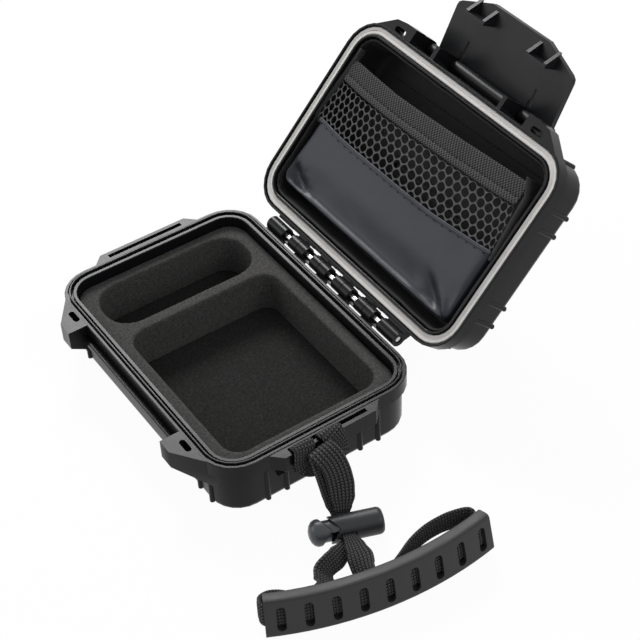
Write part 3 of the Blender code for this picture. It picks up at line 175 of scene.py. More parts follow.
class Shader:
    """A material under construction."""

    def __init__(self, name: str) -> None:
        """Starts a material with a Principled surface.

        Args:
            name: the material's name.
        """
        self.material = bpy.data.materials.new(name)
        self.material.use_nodes = True
        self.tree = self.material.node_tree
        self.tree.nodes.clear()
        self.surface = self.node("ShaderNodeBsdfPrincipled", {}, {})
        output = self.node("ShaderNodeOutputMaterial", {}, {})
        self.tree.links.new(output.node.inputs["Surface"], self.surface.node.outputs["BSDF"])

    def node(self, kind: str, settings: Mapping[str, Any], inputs: Mapping[Any, Any]) -> Made:
        """Adds a node.

        Args:
            kind: the node's type.
            settings: its properties, set first.
            inputs: values or wires by socket name or number.
        Returns:
            The node made.
        """
        node = self.tree.nodes.new(kind)
        for name, value in settings.items():
            setattr(node, name, value)
        made = Made(self, node)
        self.feed(made, inputs)
        return made

    def feed(self, made: Made, inputs: Mapping[Any, Any]) -> None:
        """Sets or links a node's inputs."""
        for name, value in inputs.items():
            socket = made.node.inputs[name]
            if isinstance(value, Wire):
                self.tree.links.new(socket, value.socket)
            else:
                socket.default_value = value

    def set(self, **inputs: Any) -> None:
        """Sets inputs of the surface, named with underscores for spaces."""
        self.feed(self.surface, {name.replace("_", " "): value for name, value in inputs.items()})

    def place(self) -> Wire:
        """Object coordinates."""
        return self.node("ShaderNodeTexCoord", {}, {})["Object"]

    def axes(self, vector: Wire) -> tuple[Wire, Wire, Wire]:
        """The three numbers of a vector."""
        split = self.node("ShaderNodeSeparateXYZ", {}, {"Vector": vector})
        return split["X"], split["Y"], split["Z"]

    def laid(self) -> tuple[Wire, Wire]:
        """The piece's own map in millimetres, along and across."""
        along, across, _ = self.axes(self.node("ShaderNodeUVMap", {"uv_map": "laid"}, {})["UV"])
        return along * 1000.0, across * 1000.0

    def cloud(self, size: float, detail: float = 2.0, where: Wire | None = None) -> Wire:
        """Noise.

        Args:
            size: size of its spots in millimetres.
            detail: number of finer layers.
            where: coordinates other than the object's own.
        Returns:
            A value about 0.5.
        """
        spot = where or self.place()
        inputs = {"Vector": spot, "Scale": 1000.0 / size, "Detail": detail}
        return self.node("ShaderNodeTexNoise", {}, inputs)["Fac"]

    def cells(self, size: float) -> Wire:
        """Distance to the nearest of scattered points of about that spacing in millimetres."""
        inputs = {"Vector": self.place(), "Scale": 1000.0 / size}
        return self.node("ShaderNodeTexVoronoi", {}, inputs)["Distance"]

    def shade(self, share: Wire, dark: Point, light: Point) -> Wire:
        """A colour between two, by a share from 0 to 1."""
        inputs = {0: share, 6: (*dark, 1.0), 7: (*light, 1.0)}
        mixed = self.node("ShaderNodeMix", {"data_type": "RGBA"}, inputs)
        return Wire(self, mixed.node.outputs[2])

    def bump(self, height: Wire, depth: float, strength: float = 1.0, below: Wire | None = None) -> Wire:
        """A bump for the surface's normal.

        Args:
            height: height from 0 to 1.
            depth: its depth in millimetres.
            strength: how much of it shows.
            below: another bump under this one.
        Returns:
            The normal.
        """
        inputs = {"Height": height, "Distance": depth * MM, "Strength": strength}
        if below is not None:
            inputs["Normal"] = below
        return self.node("ShaderNodeBump", {}, inputs)["Normal"]


FINISHED: dict[str, bpy.types.Material] = {}


def grey(value: float, warm: float = 0.0) -> tuple[float, float, float]:
    """A near neutral colour, warmer by a small share, or bluer by one below zero."""
    return value * (1.0 + warm * (1.0 if warm > 0.0 else 0.25)), value, value * (1.0 - warm)


@dataclass(frozen=True)
class Finish:
    """A surface finish with the record's slot that it belongs to."""

    name: str
    slot: Slot
    tone: float
    rough: float = 0.5
    shine: float = 0.25

    def material(self) -> bpy.types.Material:
        """The finish's material, made at its first use."""
        if self.name not in FINISHED:
            shader = Shader(self.name)
            shader.set(Specular_IOR_Level=self.shine)
            self.paint(shader)
            FINISHED[self.name] = shader.material
        return FINISHED[self.name]

    def paint(self, shader: Shader) -> None:
        """Writes the finish into a shader."""
        raise NotImplementedError


@dataclass(frozen=True)
class Moulded(Finish):
    """Moulded plastic or rubber with a fine grain."""

    grain: float = 0.45
    depth: float = 0.03
    warm: float = 0.0

    def paint(self, shader: Shader) -> None:
        """Fine grain, faint clouds and rubbed patches."""
        fine = shader.cloud(self.grain, 3.0)
        patches = shader.cloud(14.0, 4.0)
        share = (patches * 0.7 + fine * 0.5 - 0.1)
        dark = grey(self.tone * 0.82, self.warm)
        light = grey(self.tone * 1.18, self.warm)
        shader.set(Base_Color=shader.shade(share, dark, light))
        shader.set(Roughness=self.rough - 0.06 + patches * 0.12)
        shader.set(Normal=shader.bump(fine, self.depth, 0.6))


@dataclass(frozen=True)
class PlainSteel(Finish):
    """Drawn steel wire."""

    def paint(self, shader: Shader) -> None:
        """Fine lines along the wire."""
        along, up, out = shader.axes(shader.place())
        spot = shader.node("ShaderNodeCombineXYZ", {}, {0: along * 0.05, 1: up, 2: out})["Vector"]
        lines = shader.cloud(0.25, 2.0, spot)
        shader.set(Base_Color=shader.shade(lines, grey(self.tone * 0.8), grey(self.tone)))
        shader.set(Metallic=1.0, Roughness=self.rough - 0.05 + lines * 0.1)
        shader.set(Normal=shader.bump(lines, 0.02, 0.4))


@dataclass(frozen=True)
class OpenFoam(Finish):
    """Open-cell foam."""

    def paint(self, shader: Shader) -> None:
        """Small dark cells with a lighter skin between them."""
        cells = shader.cells(0.8)
        dust = shader.cloud(1.5, 4.0)
        share = cells * 0.7 + dust * 0.75 - 0.3
        dark, light = grey(self.tone * 0.45, 0.02), grey(self.tone * 1.4, 0.02)
        shader.set(Base_Color=shader.shade(share, dark, light))
        shader.set(Roughness=self.rough)
        shader.set(Normal=shader.bump(cells + dust * 0.6, 0.25, 0.6))


@dataclass(frozen=True)
class Cloth(Finish):
    """Plain woven cloth, dull or coated, of a thread pitch in millimetres."""

    thread: float = 0.5
    depth: float = 0.05
    wrinkle: float = 0.3
    sheen: float = 0.1
    tilt: float = 0.0
    warm: float = 0.0

    def paint(self, shader: Shader) -> None:
        """A weave on the lid's own plane, with soft wrinkles under it."""
        x, y, z = shader.axes(shader.place())
        down = y * math.cos(self.tilt) + z * math.sin(self.tilt)
        pitch = self.thread * MM
        weave = x.wave(pitch) * down.wave(pitch) * 0.5 + 0.5
        folds = shader.cloud(9.0, 3.0)
        fuzz = shader.cloud(0.3, 2.0)
        share = weave * 0.35 + fuzz * 0.4 + folds * 0.35 - 0.05
        dark = grey(self.tone * 0.7, self.warm)
        light = grey(self.tone * 1.25, self.warm)
        shader.set(Base_Color=shader.shade(share, dark, light))
        shader.set(Roughness=self.rough + (fuzz - 0.5) * 0.15)
        shader.set(Sheen_Weight=self.sheen, Sheen_Roughness=0.5)
        soft = shader.bump(folds, self.wrinkle, 0.6)
        shader.set(Normal=shader.bump(weave + fuzz * 0.5, self.depth, 0.7, soft))


@dataclass(frozen=True)
class Twill(Finish):
    """Elastic webbing with staggered dots between its threads on the piece's own map."""

    rib: float = 2.1
    pick: float = 1.75

    def paint(self, shader: Shader) -> None:
        """Dark dots between crossed threads, with the lower strip a little lighter."""
        along, across = shader.laid()
        lean = along + across * 0.25
        dots = lean.wave(self.pick) * across.wave(self.rib)
        fuzz = shader.cloud(0.4, 2.0)
        share = dots * 0.75 + fuzz * 0.5 + 0.12 + across.step(0.2) * 0.14
        shader.set(Base_Color=shader.shade(share, grey(self.tone * 0.15), grey(self.tone * 2.0)))
        shader.set(Roughness=self.rough)
        shader.set(Normal=shader.bump(dots * 0.5 + fuzz * 0.3, 0.25, 0.8))


@dataclass(frozen=True)
class Braided(Finish):
    """Flat braid: lengthwise ribs of small V stitches on the piece's own map."""

    rib: float = 1.657
    stitch: float = 1.35

    def paint(self, shader: Shader) -> None:
        """Ribs and stitches with a little fuzz, coloured by their height as painted shade and painted
        highlight.
        """
        along, across = shader.laid()
        turn = abs(across.saw(self.rib) - 0.5) * 2.0
        dome = 1.0 - turn * turn * turn
        picks = (along + turn * 0.55 * self.rib).wave(self.stitch) * 0.5 + 0.5
        fuzz = shader.cloud(0.3, 2.0)
        height = dome * (picks * 0.75 + 0.2) + fuzz * 0.2
        # Colour follows the relief: painted shade in the grooves and between stitches, painted highlight
        # on the rib crests.
        shader.set(Base_Color=shader.shade(height - 0.16, grey(self.tone * 0.04), grey(self.tone * 2.7)))
        shader.set(Roughness=self.rough)
        shader.set(Normal=shader.bump(height, 0.45, 0.9))


LID_TILT = math.radians(-133.5)
COOL = -0.15
SHELL = Moulded("shell_plastic", Slot.SHELL, 0.008, 0.25, 0.12, 0.45, 0.006, COOL)
# Lighter shell finish for the bevelled edges: a painted highlight.
SHELL_PAINTED_HIGHLIGHT = Moulded("shell_plastic_edge_painted_highlight", Slot.SHELL, 0.024, 0.3, 0.45, 0.3, 0.004, COOL)
LATCH = Moulded("latch_plastic", Slot.LATCH, 0.010, 0.4, 0.19, 0.5, 0.03, COOL)
# Lighter latch finish for the bevelled edges: a painted highlight.
LATCH_PAINTED_HIGHLIGHT = Moulded("latch_plastic_edge_painted_highlight", Slot.LATCH, 0.025, 0.36, 0.35, 0.3, 0.01, COOL)
PIN = PlainSteel("pin_steel", Slot.PIN, 0.55, 0.28, 0.5)
SEAL = Moulded("seal_rubber", Slot.SEAL, 0.7, 0.6, 0.3, 0.5, 0.02, 0.025)
FOAM = OpenFoam("foam", Slot.FOAM, 0.075, 0.95, 0.06)
# The sheet shows only as the pocket floors; its darker tone is painted shade there.
FOAM_SHEET_PAINTED_SHADE = OpenFoam("foam_sheet_painted_shade", Slot.FOAM, 0.027, 0.95, 0.06)
LINING = Cloth("lining_cloth", Slot.LINING, 0.016, 0.7, 0.2, 0.45, 0.05, 0.5, 0.05, LID_TILT)
COATED = Cloth("coated_cloth", Slot.COATED, 0.023, 0.4, 0.3, 0.5, 0.03, 0.25, 0.0, LID_TILT, -0.4)
NET = Cloth("net_thread", Slot.NET, 0.085, 0.6, 0.2, 0.3, 0.05, 0.05, 0.05, LID_TILT)
ELASTIC = Twill("elastic_webbing", Slot.ELASTIC, 0.055, 0.75, 0.15)
BRAID = Braided("braid", Slot.BRAID, 0.05, 0.8, 0.12)
THREAD = Cloth("sewing_thread", Slot.BRAID, 0.008, 0.7, 0.15, 0.25, 0.05, 0.05, 0.0, LID_TILT)
LOCK = Moulded("lock_plastic", Slot.LOCK, 0.019, 0.42, 0.34, 0.5, 0.02, COOL)
BUTTON = Moulded("button_plastic", Slot.LOCK, 0.046, 0.36, 0.5, 0.5, 0.02, COOL)
# Lighter lock finish for the bevelled edges: a painted highlight.
LOCK_PAINTED_HIGHLIGHT = Moulded("lock_plastic_edge_painted_highlight", Slot.LOCK, 0.025, 0.42, 0.35, 0.4, 0.01, COOL)
GRIP = Moulded("grip_rubber", Slot.GRIP, 0.028, 0.5, 0.27, 0.6, 0.06)
# Lighter grip finish for the bevelled edges: a painted highlight.
GRIP_PAINTED_HIGHLIGHT = Moulded("grip_rubber_edge_painted_highlight", Slot.GRIP, 0.042, 0.62, 0.22, 0.6, 0.05)


# Modelling by hand


class Workshop:
    """The steps that pieces are modelled with."""

    @staticmethod
    def pick(piece: bpy.types.Object) -> None:
        """Selects one piece alone and makes it active."""
        bpy.ops.object.select_all(action="DESELECT")
        piece.select_set(True)
        bpy.context.view_layer.objects.active = piece

    @staticmethod
    @contextmanager
    def editing(piece: bpy.types.Object) -> Iterator[bpy.types.Mesh]:
        """Edit mode on one piece with everything deselected in it."""
        Workshop.pick(piece)
        bpy.ops.object.mode_set(mode="EDIT")
        bpy.ops.mesh.select_all(action="DESELECT")
        yield piece.data
        bpy.ops.object.mode_set(mode="OBJECT")

    @staticmethod
    def modify(piece: bpy.types.Object, kind: str, **settings: Any) -> None:
        """Adds a modifier with the settings given and applies it."""
        Workshop.pick(piece)
        added = piece.modifiers.new(kind.lower(), kind)
        for name, value in settings.items():
            setattr(added, name, value)
        bpy.ops.object.modifier_apply(modifier=added.name)

    @staticmethod
    def copied(node: str, name: str) -> bpy.types.Object:
        """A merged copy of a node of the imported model.

        Args:
            node: the node's name.
            name: the new piece's name.
        Returns:
            The new piece.
        """
        piece = bpy.data.objects.new(name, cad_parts[node].data.copy())
        bpy.context.scene.collection.objects.link(piece)
        piece.data.materials.clear()
        with Workshop.editing(piece):
            bpy.ops.mesh.select_all(action="SELECT")
            bpy.ops.mesh.remove_doubles(threshold=2e-6)
            bpy.ops.mesh.dissolve_limited(angle_limit=math.radians(0.6))
        return piece

    @staticmethod
    def meshed(name: str, points: Sequence[Point], faces: Sequence[Sequence[int]]) -> bpy.types.Object:
        """A piece from points in millimetres and faces."""
        mesh = bpy.data.meshes.new(name)
        mesh.from_pydata([Vector(point) * MM for point in points], [], faces)
        mesh.update()
        piece = bpy.data.objects.new(name, mesh)
        bpy.context.scene.collection.objects.link(piece)
        return piece

    @staticmethod
    def lofted(
        name: str, rings: Sequence[Sequence[Point]], closed: bool, capped: bool = False
    ) -> bpy.types.Object:
        """A surface through rows of as many points each.

        Args:
            name: the piece's name.
            rings: rows of points in millimetres.
            closed: whether each row closes on itself.
            capped: whether the first and last rows get a face.
        Returns:
            The piece.
        """
        wide = len(rings[0])
        last = wide if closed else wide - 1
        faces = []
        for low in range(0, (len(rings) - 1) * wide, wide):
            high = low + wide
            for spot in range(last):
                after = (spot + 1) % wide
                faces.append((low + spot, low + after, high + after, high + spot))
        if capped:
            faces.append(tuple(reversed(range(wide))))
            faces.append(tuple(range((len(rings) - 1) * wide, len(rings) * wide)))
        return Workshop.meshed(name, [point for ring in rings for point in ring], faces)

    @staticmethod
    def mapped(piece: bpy.types.Object, at: Callable[[int], tuple[float, float]]) -> None:
        """Lays a map in metres on a piece, from each corner's vertex number."""
        layer = piece.data.uv_layers.new(name="laid")
        for loop in piece.data.loops:
            u, v = at(loop.vertex_index)
            layer.data[loop.index].uv = (u * MM, v * MM)

    @staticmethod
    def outward(piece: bpy.types.Object) -> None:
        """Turns all faces of a closed piece outwards."""
        with Workshop.editing(piece):
            bpy.ops.mesh.select_all(action="SELECT")
            bpy.ops.mesh.normals_make_consistent(inside=False)

    @staticmethod
    def smoothed(piece: bpy.types.Object, angle: float) -> None:
        """Smooth shading below an angle in degrees."""
        Workshop.pick(piece)
        bpy.ops.object.shade_smooth_by_angle(angle=math.radians(angle))

    @staticmethod
    def dressed(
        piece: bpy.types.Object, body: Body, finishes: Sequence[Finish], *nodes: str
    ) -> bpy.types.Object:
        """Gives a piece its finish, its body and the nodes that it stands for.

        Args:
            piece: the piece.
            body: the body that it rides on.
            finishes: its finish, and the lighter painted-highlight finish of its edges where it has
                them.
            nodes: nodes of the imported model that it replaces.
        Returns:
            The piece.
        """
        if not piece.data.materials:
            for finish in finishes:
                piece.data.materials.append(finish.material())
        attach(piece, body.value)
        if nodes:
            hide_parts(*nodes)
        LOG.info("%s: %d faces on %s", piece.name, len(piece.data.polygons), body.value)
        return piece


@dataclass
class Rigid:
    """A moulded piece: a copy of its solid with soft edges that carry a lighter finish as a painted
    highlight.
    """

    node: str
    body: Body
    finish: Finish
    edge_highlight_finish: Finish
    edge: float = 0.3
    angle: float = 38.0
    smooth: float = 40.0

    def build(self) -> bpy.types.Object:
        """Copies the solid, rounds its edges and dresses it.

        Returns:
            The finished piece.
        """
        piece = Workshop.copied(self.node, f"{self.node}_moulded")
        # The second finish goes on the bevel faces: a painted highlight along the edges.
        for finish in (self.finish, self.edge_highlight_finish):
            piece.data.materials.append(finish.material())
        Workshop.modify(
            piece,
            "BEVEL",
            width=self.edge * MM,
            segments=2,
            limit_method="ANGLE",
            angle_limit=math.radians(self.angle),
            use_clamp_overlap=True,
            material=1,
            miter_outer="MITER_ARC",
        )
        Workshop.smoothed(piece, self.smooth)
        Workshop.modify(piece, "WEIGHTED_NORMAL", keep_sharp=True, weight=100)
        return Workshop.dressed(piece, self.body, (self.finish, self.edge_highlight_finish), self.node)


# Lid space

HINGE = Vector((0.0, 58.5, 30.7))
LID_TURN = (
    Matrix.Translation(HINGE * MM)
    @ Matrix.Rotation(LID_TILT, 4, "X")
    @ Matrix.Translation(HINGE * -MM)
)


def opened(piece: bpy.types.Object) -> bpy.types.Object:
    """Turns a piece drawn in the closed case to where the open lid holds it."""
    piece.data.transform(LID_TURN)
    piece.data.update()
    return piece


def hung(piece: bpy.types.Object, finish: Finish, smooth: float, *nodes: str) -> bpy.types.Object:
    """Finishes a piece that was drawn in the closed case and rides on the lid.

    Args:
        piece: the piece.
        finish: its finish.
        smooth: angle in degrees below which it is shaded smooth.
        nodes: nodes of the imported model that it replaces.
    Returns:
        The piece.
    """
    opened(piece)
    Workshop.outward(piece)
    Workshop.smoothed(piece, smooth)
    return Workshop.dressed(piece, Body.LID, (finish,), *nodes)


def clamped(value: float) -> float:
    """The value, held between 0 and 1."""
    return max(0.0, min(1.0, value))


def soft_step(share: float) -> float:
    """A share from 0 to 1 with its ends eased."""
    return share * share * (3.0 - 2.0 * share)


def ripple(x: float, y: float, z: float, size: float) -> float:
    """Smooth noise about zero with spots of a size in millimetres."""
    return noise.noise(Vector((x, y, z)) / size)


def rounded(half_x: float, half_y: float, radius: float, count: int) -> list[tuple[float, float]]:
    """Evenly spread points round a rectangle with round corners.

    Args:
        half_x: half its width.
        half_y: half its depth.
        radius: corner radius.
        count: number of points, a multiple of four.
    Returns:
        Points anticlockwise, starting on the right side.
    """
    radius = max(0.4, min(radius, half_x - 0.2, half_y - 0.2))
    corner = count // 20
    long = (count - 4 * corner) // 4
    arcs: list[list[tuple[float, float]]] = []
    for side_x, side_y, start in ((1, 1, 0), (-1, 1, 90), (-1, -1, 180), (1, -1, 270)):
        middle_x, middle_y = side_x * (half_x - radius), side_y * (half_y - radius)
        angles = [math.radians(start + 90.0 * step / corner) for step in range(corner + 1)]
        arcs.append([(middle_x + radius * math.cos(a), middle_y + radius * math.sin(a)) for a in angles])
    points: list[tuple[float, float]] = []
    for arc, following in zip(arcs, arcs[1:] + arcs[:1]):
        points.extend(arc)
        (x, y), (to_x, to_y) = arc[-1], following[0]
        for step in range(1, long):
            share = step / long
            points.append((x + (to_x - x) * share, y + (to_y - y) * share))
    return points


@dataclass
class LidCloth:
    """Everything sewn inside the lid, drawn in the closed case."""

    half_x: float = 72.3
    half_y: float = 47.5
    corner: float = 11.5
    rim_z: float = 34.5
    panel_x: tuple[float, float] = (-67.2, 67.8)
    panel_y: tuple[float, float] = (3.2, 40.0)
    hem_line: tuple[tuple[float, ...], tuple[float, ...]] = (
        (-67.5, -57.0, -46.0, -35.0, -12.0, 2.0, 25.0, 43.0, 57.0, 67.0),
        (2.5, 3.3, 4.1, 4.4, 4.3, 4.4, 4.0, 2.5, 1.3, 0.0),
    )
    panel_front: float = 32.75
    panel_corner: float = 6.0
    panel_sag: float = 3.0
    panel_flare: float = 2.4
    folds: tuple[tuple[Point, Point, float, float], ...] = (
        ((41.0, 26.0), (62.7, 40.6), -1.9, 2.4),
        ((34.0, 32.0), (56.0, 42.0), 0.9, 2.6),
        ((-60.0, 31.0), (-44.0, 38.5), -1.2, 2.2),
        ((-73.0, 25.5), (-53.0, 38.0), -3.4, 2.6),
        ((-64.0, 24.5), (-52.0, 33.0), 0.7, 2.2),
        ((47.0, 24.5), (66.0, 38.5), 1.0, 2.8),
    )
    corner_creases: tuple[tuple[float, ...], ...] = (
        (-66.0, 39.0, 7.0, 0.4, 15.0),
        (66.5, 39.0, 8.0, 0.8, 20.0),
    )
    hem_section: tuple[tuple[float, float], ...] = (
        (-0.5, 0.3), (-0.7, 0.0), (-0.5, -0.28), (0.3, -0.38),
        (0.9, -0.36), (1.3, -0.2), (1.35, 0.1), (0.6, 0.25),
    )
    net_z: float = 33.5
    net_top: float = -19.6
    net_tall: float = 21.4
    net_thread: float = 0.46
    net_inset: float = 0.19
    net_pitch: float = 5.7
    net_lean: float = 2.3
    net_rows: int = 6
    net_columns: tuple[int, int] = (-20, 15)
    net_ends: tuple[float, float] = (-70.4, 67.4)
    band_ends: tuple[float, float] = (-68.0, 63.0)
    band_line: tuple[float, ...] = (-68.0, -52.0, -33.0, -20.0, -8.0, 17.0, 36.0, 50.0, 63.0)
    band_top: tuple[float, ...] = (-31.3, -30.5, -29.9, -30.3, -30.9, -32.2, -33.5, -34.4, -35.1)
    band_seam: tuple[float, ...] = (-23.2, -22.2, -21.8, -22.0, -22.6, -23.6, -25.1, -26.0, -27.0)
    band_foot: tuple[float, ...] = (-19.4, -18.3, -18.1, -18.4, -18.7, -19.8, -20.9, -21.8, -23.2)
    band_z: float = 33.0
    end_x: tuple[float, float] = (68.0, 65.2)
    end_roll: float = 1.75
    end_wall: float = 70.6
    end_deep: float = 15.0
    stitch: tuple[tuple[float, float], ...] = (
        (-0.75, 0.06), (-0.55, 0.2), (0.0, 0.26), (0.55, 0.2), (0.75, 0.06),
    )
    stitch_sides: int = 6

    def build(self) -> None:
        """Makes and dresses all the cloth of the lid."""
        lining, piping = self.liner(), self.piping()
        panel, hem = self.panel(), self.hem()
        self.net()
        self.band()
        self.sides()
        self.stitching()

    def ring(self, grow: float, count: int = 200) -> list[tuple[float, float]]:
        """The outline of the lid's inner wall grown by a distance."""
        return rounded(self.half_x + grow, self.half_y + grow, self.corner + grow, count)

    def cornered(self, x: float, y: float) -> float:
        """How near a point on the wall is to the middle of a corner, from 0 to 1."""
        away = math.hypot(abs(x) - (self.half_x - 5.5), abs(y) - (self.half_y - 5.5))
        return max(0.0, 1.0 - away / 15.0)

    def liner(self) -> bpy.types.Object:
        """The lining: walls and back in one cloth, gathered in its corners.

        Returns:
            The piece.
        """
        way = [(-2.45, self.rim_z), (-2.5, 36.0), (-2.6, 38.5), (-2.7, 41.5), (-2.8, 44.5), (-3.0, 47.5)]
        way += [(-3.4, 49.8), (-4.4, 51.5), (-6.2, 52.3), (-8.5, 52.5), (-12.0, 52.5), (-17.0, 52.4)]
        way += [(-23.0, 52.4), (-29.0, 52.3), (-35.0, 52.3), (-41.0, 52.3), (-46.6, 52.3)]
        rings = []
        for grow, z in way:
            row = []
            for x, y in self.ring(grow):
                near = self.cornered(x, y)
                fold = math.sin(math.atan2(y, x) * 90.0) * 0.7 * near * near
                wall = 1.0 if z < 51.0 else 0.35
                shift = (ripple(x, y, z, 11.0) * 0.45 + ripple(x, y, z, 4.0) * 0.2 + fold) * wall
                length = math.hypot(x, y)
                row.append((x - shift * x / length, y - shift * y / length, z + shift * 0.4 * (z > 50)))
            rings.append(row)
        piece = Workshop.lofted("lid_lining", rings, True, False)
        Workshop.modify(piece, "SOLIDIFY", thickness=0.7 * MM, offset=1.0)
        Workshop.modify(piece, "SUBSURF", levels=1, render_levels=1)
        return hung(piece, LINING, 60.0, "lid_liner")

    def piping(self) -> bpy.types.Object:
        """The rolled edge sewn round the lining's mouth.

        Returns:
            The piece.
        """
        count = 320
        spots = rounded(self.half_x - 2.0, self.half_y - 2.0, self.corner - 2.0, count)
        rings = []
        for index, (x, y) in enumerate(spots):
            ahead = Vector((*spots[(index + 1) % len(spots)], 0.0))
            behind = Vector((*spots[index - 1], 0.0))
            along = (ahead - behind).normalized()
            out = Vector((along.y, -along.x, 0.0))
            near = self.cornered(x, y)
            wide = 0.62 + 0.10 * ripple(x, y, 0.0, 3.0) + 0.16 * near * math.sin(index * 1.9)
            drift = 0.25 * ripple(x, y, 5.0, 9.0)
            middle = Vector((x, y, 33.6 + 0.2 * ripple(x, y, 9.0, 7.0))) - out * (0.3 + drift)
            ring = []
            for step in range(8):
                angle = math.radians(45.0 * step)
                rise = Vector((0, 0, wide * math.sin(angle)))
                ring.append(middle + out * (wide * math.cos(angle)) + rise)
            rings.append(ring)
        rings.append(rings[0])
        piece = Workshop.lofted("lining_piping", rings, True)
        with Workshop.editing(piece):
            bpy.ops.mesh.select_all(action="SELECT")
            bpy.ops.mesh.remove_doubles(threshold=1e-6)
        return hung(piece, LINING, 80.0, "liner_piping")

    def hem_y(self, x: float) -> float:
        """Where the panel's upper hem runs, sagging between the sides."""
        return float(np.interp(x, *self.hem_line))

    def band_at(self, x: float) -> tuple[float, float, float]:
        """The band's upper edge, sewn line and lower edge at a place along it."""
        edges = (self.band_top, self.band_seam, self.band_foot)
        top, seam, foot = (float(np.interp(x, self.band_line, edge)) for edge in edges)
        return top, seam, foot

    def band_lift(self, x: float) -> float:
        """How far the band wavers from its plane at a place along it."""
        middle = sum(self.band_ends) / 2.0
        long = self.band_ends[1] - self.band_ends[0]
        return 0.3 * ripple(x, 0.0, 6.0, 12.0) + 0.3 * math.cos(math.pi * (x - middle) / long)

    def panel_rise(self, x: float, y: float) -> float:
        """How far the panel's front lies behind its plane: a low crown, soft waves and creases."""
        share = clamped((x - self.panel_x[0]) / (self.panel_x[1] - self.panel_x[0]))
        low = clamped((y - self.panel_y[0]) / (self.panel_y[1] - self.panel_y[0]))
        crown = 0.45 * math.sin(math.pi * share) * math.sin(math.pi * min(1.0, low + 0.15))
        sunk = soft_step(clamped((low - 0.4) / 0.5))
        lip = soft_step(clamped((0.985 - low) / 0.07))
        crown -= self.panel_sag * sunk * lip * min(1.0, (1.0 - share) * 9.0)
        waves = 0.3 * ripple(x, y * 1.8, 3.0, 17.0)
        for start, end, tall, wide in self.folds:
            run = Vector(end) - Vector(start)
            from_start = Vector((x, y)) - Vector(start)
            part = clamped(from_start.dot(run) / run.length_squared)
            off = (from_start - run * part).length / wide
            waves += tall * math.exp(-off * off) * min(1.0, part * 2.5)
        creases = 0.0
        for corner_x, corner_y, count, tall, reach in self.corner_creases:
            away = math.hypot(x - corner_x, y - corner_y)
            turn = math.atan2(y - corner_y, x - corner_x)
            fade = max(0.0, 1.0 - away / reach) * min(1.0, away / 4.0)
            creases += tall * math.sin(turn * count + 0.6) * fade
        return -(crown + waves + creases)

    def flare(self, x: float, y: float) -> float:
        """How far the panel's left side is drawn out towards the wall at its foot."""
        near = clamped((-50.0 - x) / 17.0)
        low = clamped((y - 8.0) / 27.0)
        return self.panel_flare * near * soft_step(low)

    def panel(self) -> bpy.types.Object:
        """The coated cloth of the pocket: front, round edges and sides in one sheet.

        Returns:
            The piece.
        """
        low_x, high_x = self.panel_x
        foot = self.panel_y[1]
        way = [(0.0, 49.5), (0.0, 45.0), (0.1, 41.0), (0.2, 38.0), (0.5, 35.8), (1.1, 34.3), (2.0, 33.4)]
        way += [(3.2, 32.95), (4.6, 32.8)]
        flat_insets = (6.5, 9.0, 12.0, 15.5, 19.5, 24.0, 28.5, 32.5, 36.0)
        way += [(inset, self.panel_front) for inset in flat_insets]
        rings = []
        for inset, z in way:
            radius = max(self.panel_corner - inset, 0.5)
            left, right, low = low_x + inset, high_x - inset, foot - inset
            points: list[tuple[float, float]] = []
            for step in range(26):
                share = step / 26
                points.append((left, self.hem_y(left) + (low - radius - self.hem_y(left)) * share))
            for step in range(9):
                angle = math.radians(180.0 - 90.0 * step / 9)
                reach, drop = radius * math.cos(angle), radius * math.sin(angle)
                points.append((left + radius + reach, low - radius + drop))
            for step in range(91):
                points.append((left + radius + (right - left - 2 * radius) * step / 90, low))
            for step in range(1, 10):
                angle = math.radians(90.0 - 90.0 * step / 9)
                reach, drop = radius * math.cos(angle), radius * math.sin(angle)
                points.append((right - radius + reach, low - radius + drop))
            for step in range(1, 27):
                share = step / 26
                points.append((right, (low - radius) + (self.hem_y(right) - low + radius) * share))
            flat = clamped((inset - 0.6) / 4.0)
            row = []
            for x, y in points:
                side = ripple(x, y, z, 12.0) * 0.35 * (1.0 - flat)
                across = x + side * (1 if x < 0 else -1) - self.flare(x, y)
                row.append((across, y - abs(side), z + self.panel_rise(x, y) * flat))
            rings.append(row)
        piece = Workshop.lofted("pocket_cloth", rings, False)
        Workshop.modify(piece, "SOLIDIFY", thickness=0.6 * MM, offset=-1.0)
        Workshop.modify(piece, "SUBSURF", levels=1, render_levels=1)
        return hung(piece, COATED, 60.0, "pocket_panel")

    def hem(self) -> bpy.types.Object:
        """The folded hem along the panel's upper edge.

        Returns:
            The piece.
        """
        rings = []
        for step in range(121):
            x = self.panel_x[0] + 0.4 + (self.panel_x[1] - self.panel_x[0] - 0.8) * step / 120
            y = self.hem_y(x)
            z = 32.55 + self.panel_rise(x, y + 1.0) + 0.1 * ripple(x, 0.0, 2.0, 6.0)
            rings.append([(x, y + across, z + up) for across, up in self.hem_section])
        piece = Workshop.lofted("pocket_hem", rings, True, True)
        Workshop.modify(piece, "SUBSURF", levels=1, render_levels=1)
        return hung(piece, COATED, 60.0)

    def net_node(self, column: int, row: float) -> tuple[float, float]:
        """A crossing of the net's threads, or the middle of a thread between two of them.

        Args:
            column: number of the thread along the net.
            row: distance from the hem in rows.
        Returns:
            Its x and y.
        """
        x = self.net_pitch * column + self.net_lean * row
        x += 0.3 if row == int(row) else -0.3
        if x < -10.0:
            x = -10.0 + (x + 10.0) * (1.0 + 0.0028 * (x + 10.0))
        if x > 52.0:
            x = 52.0 + (x - 52.0) * (1.0 - 0.014 * (x - 52.0))
        return x, self.net_top + self.net_tall * (1.0 - row / self.net_rows)

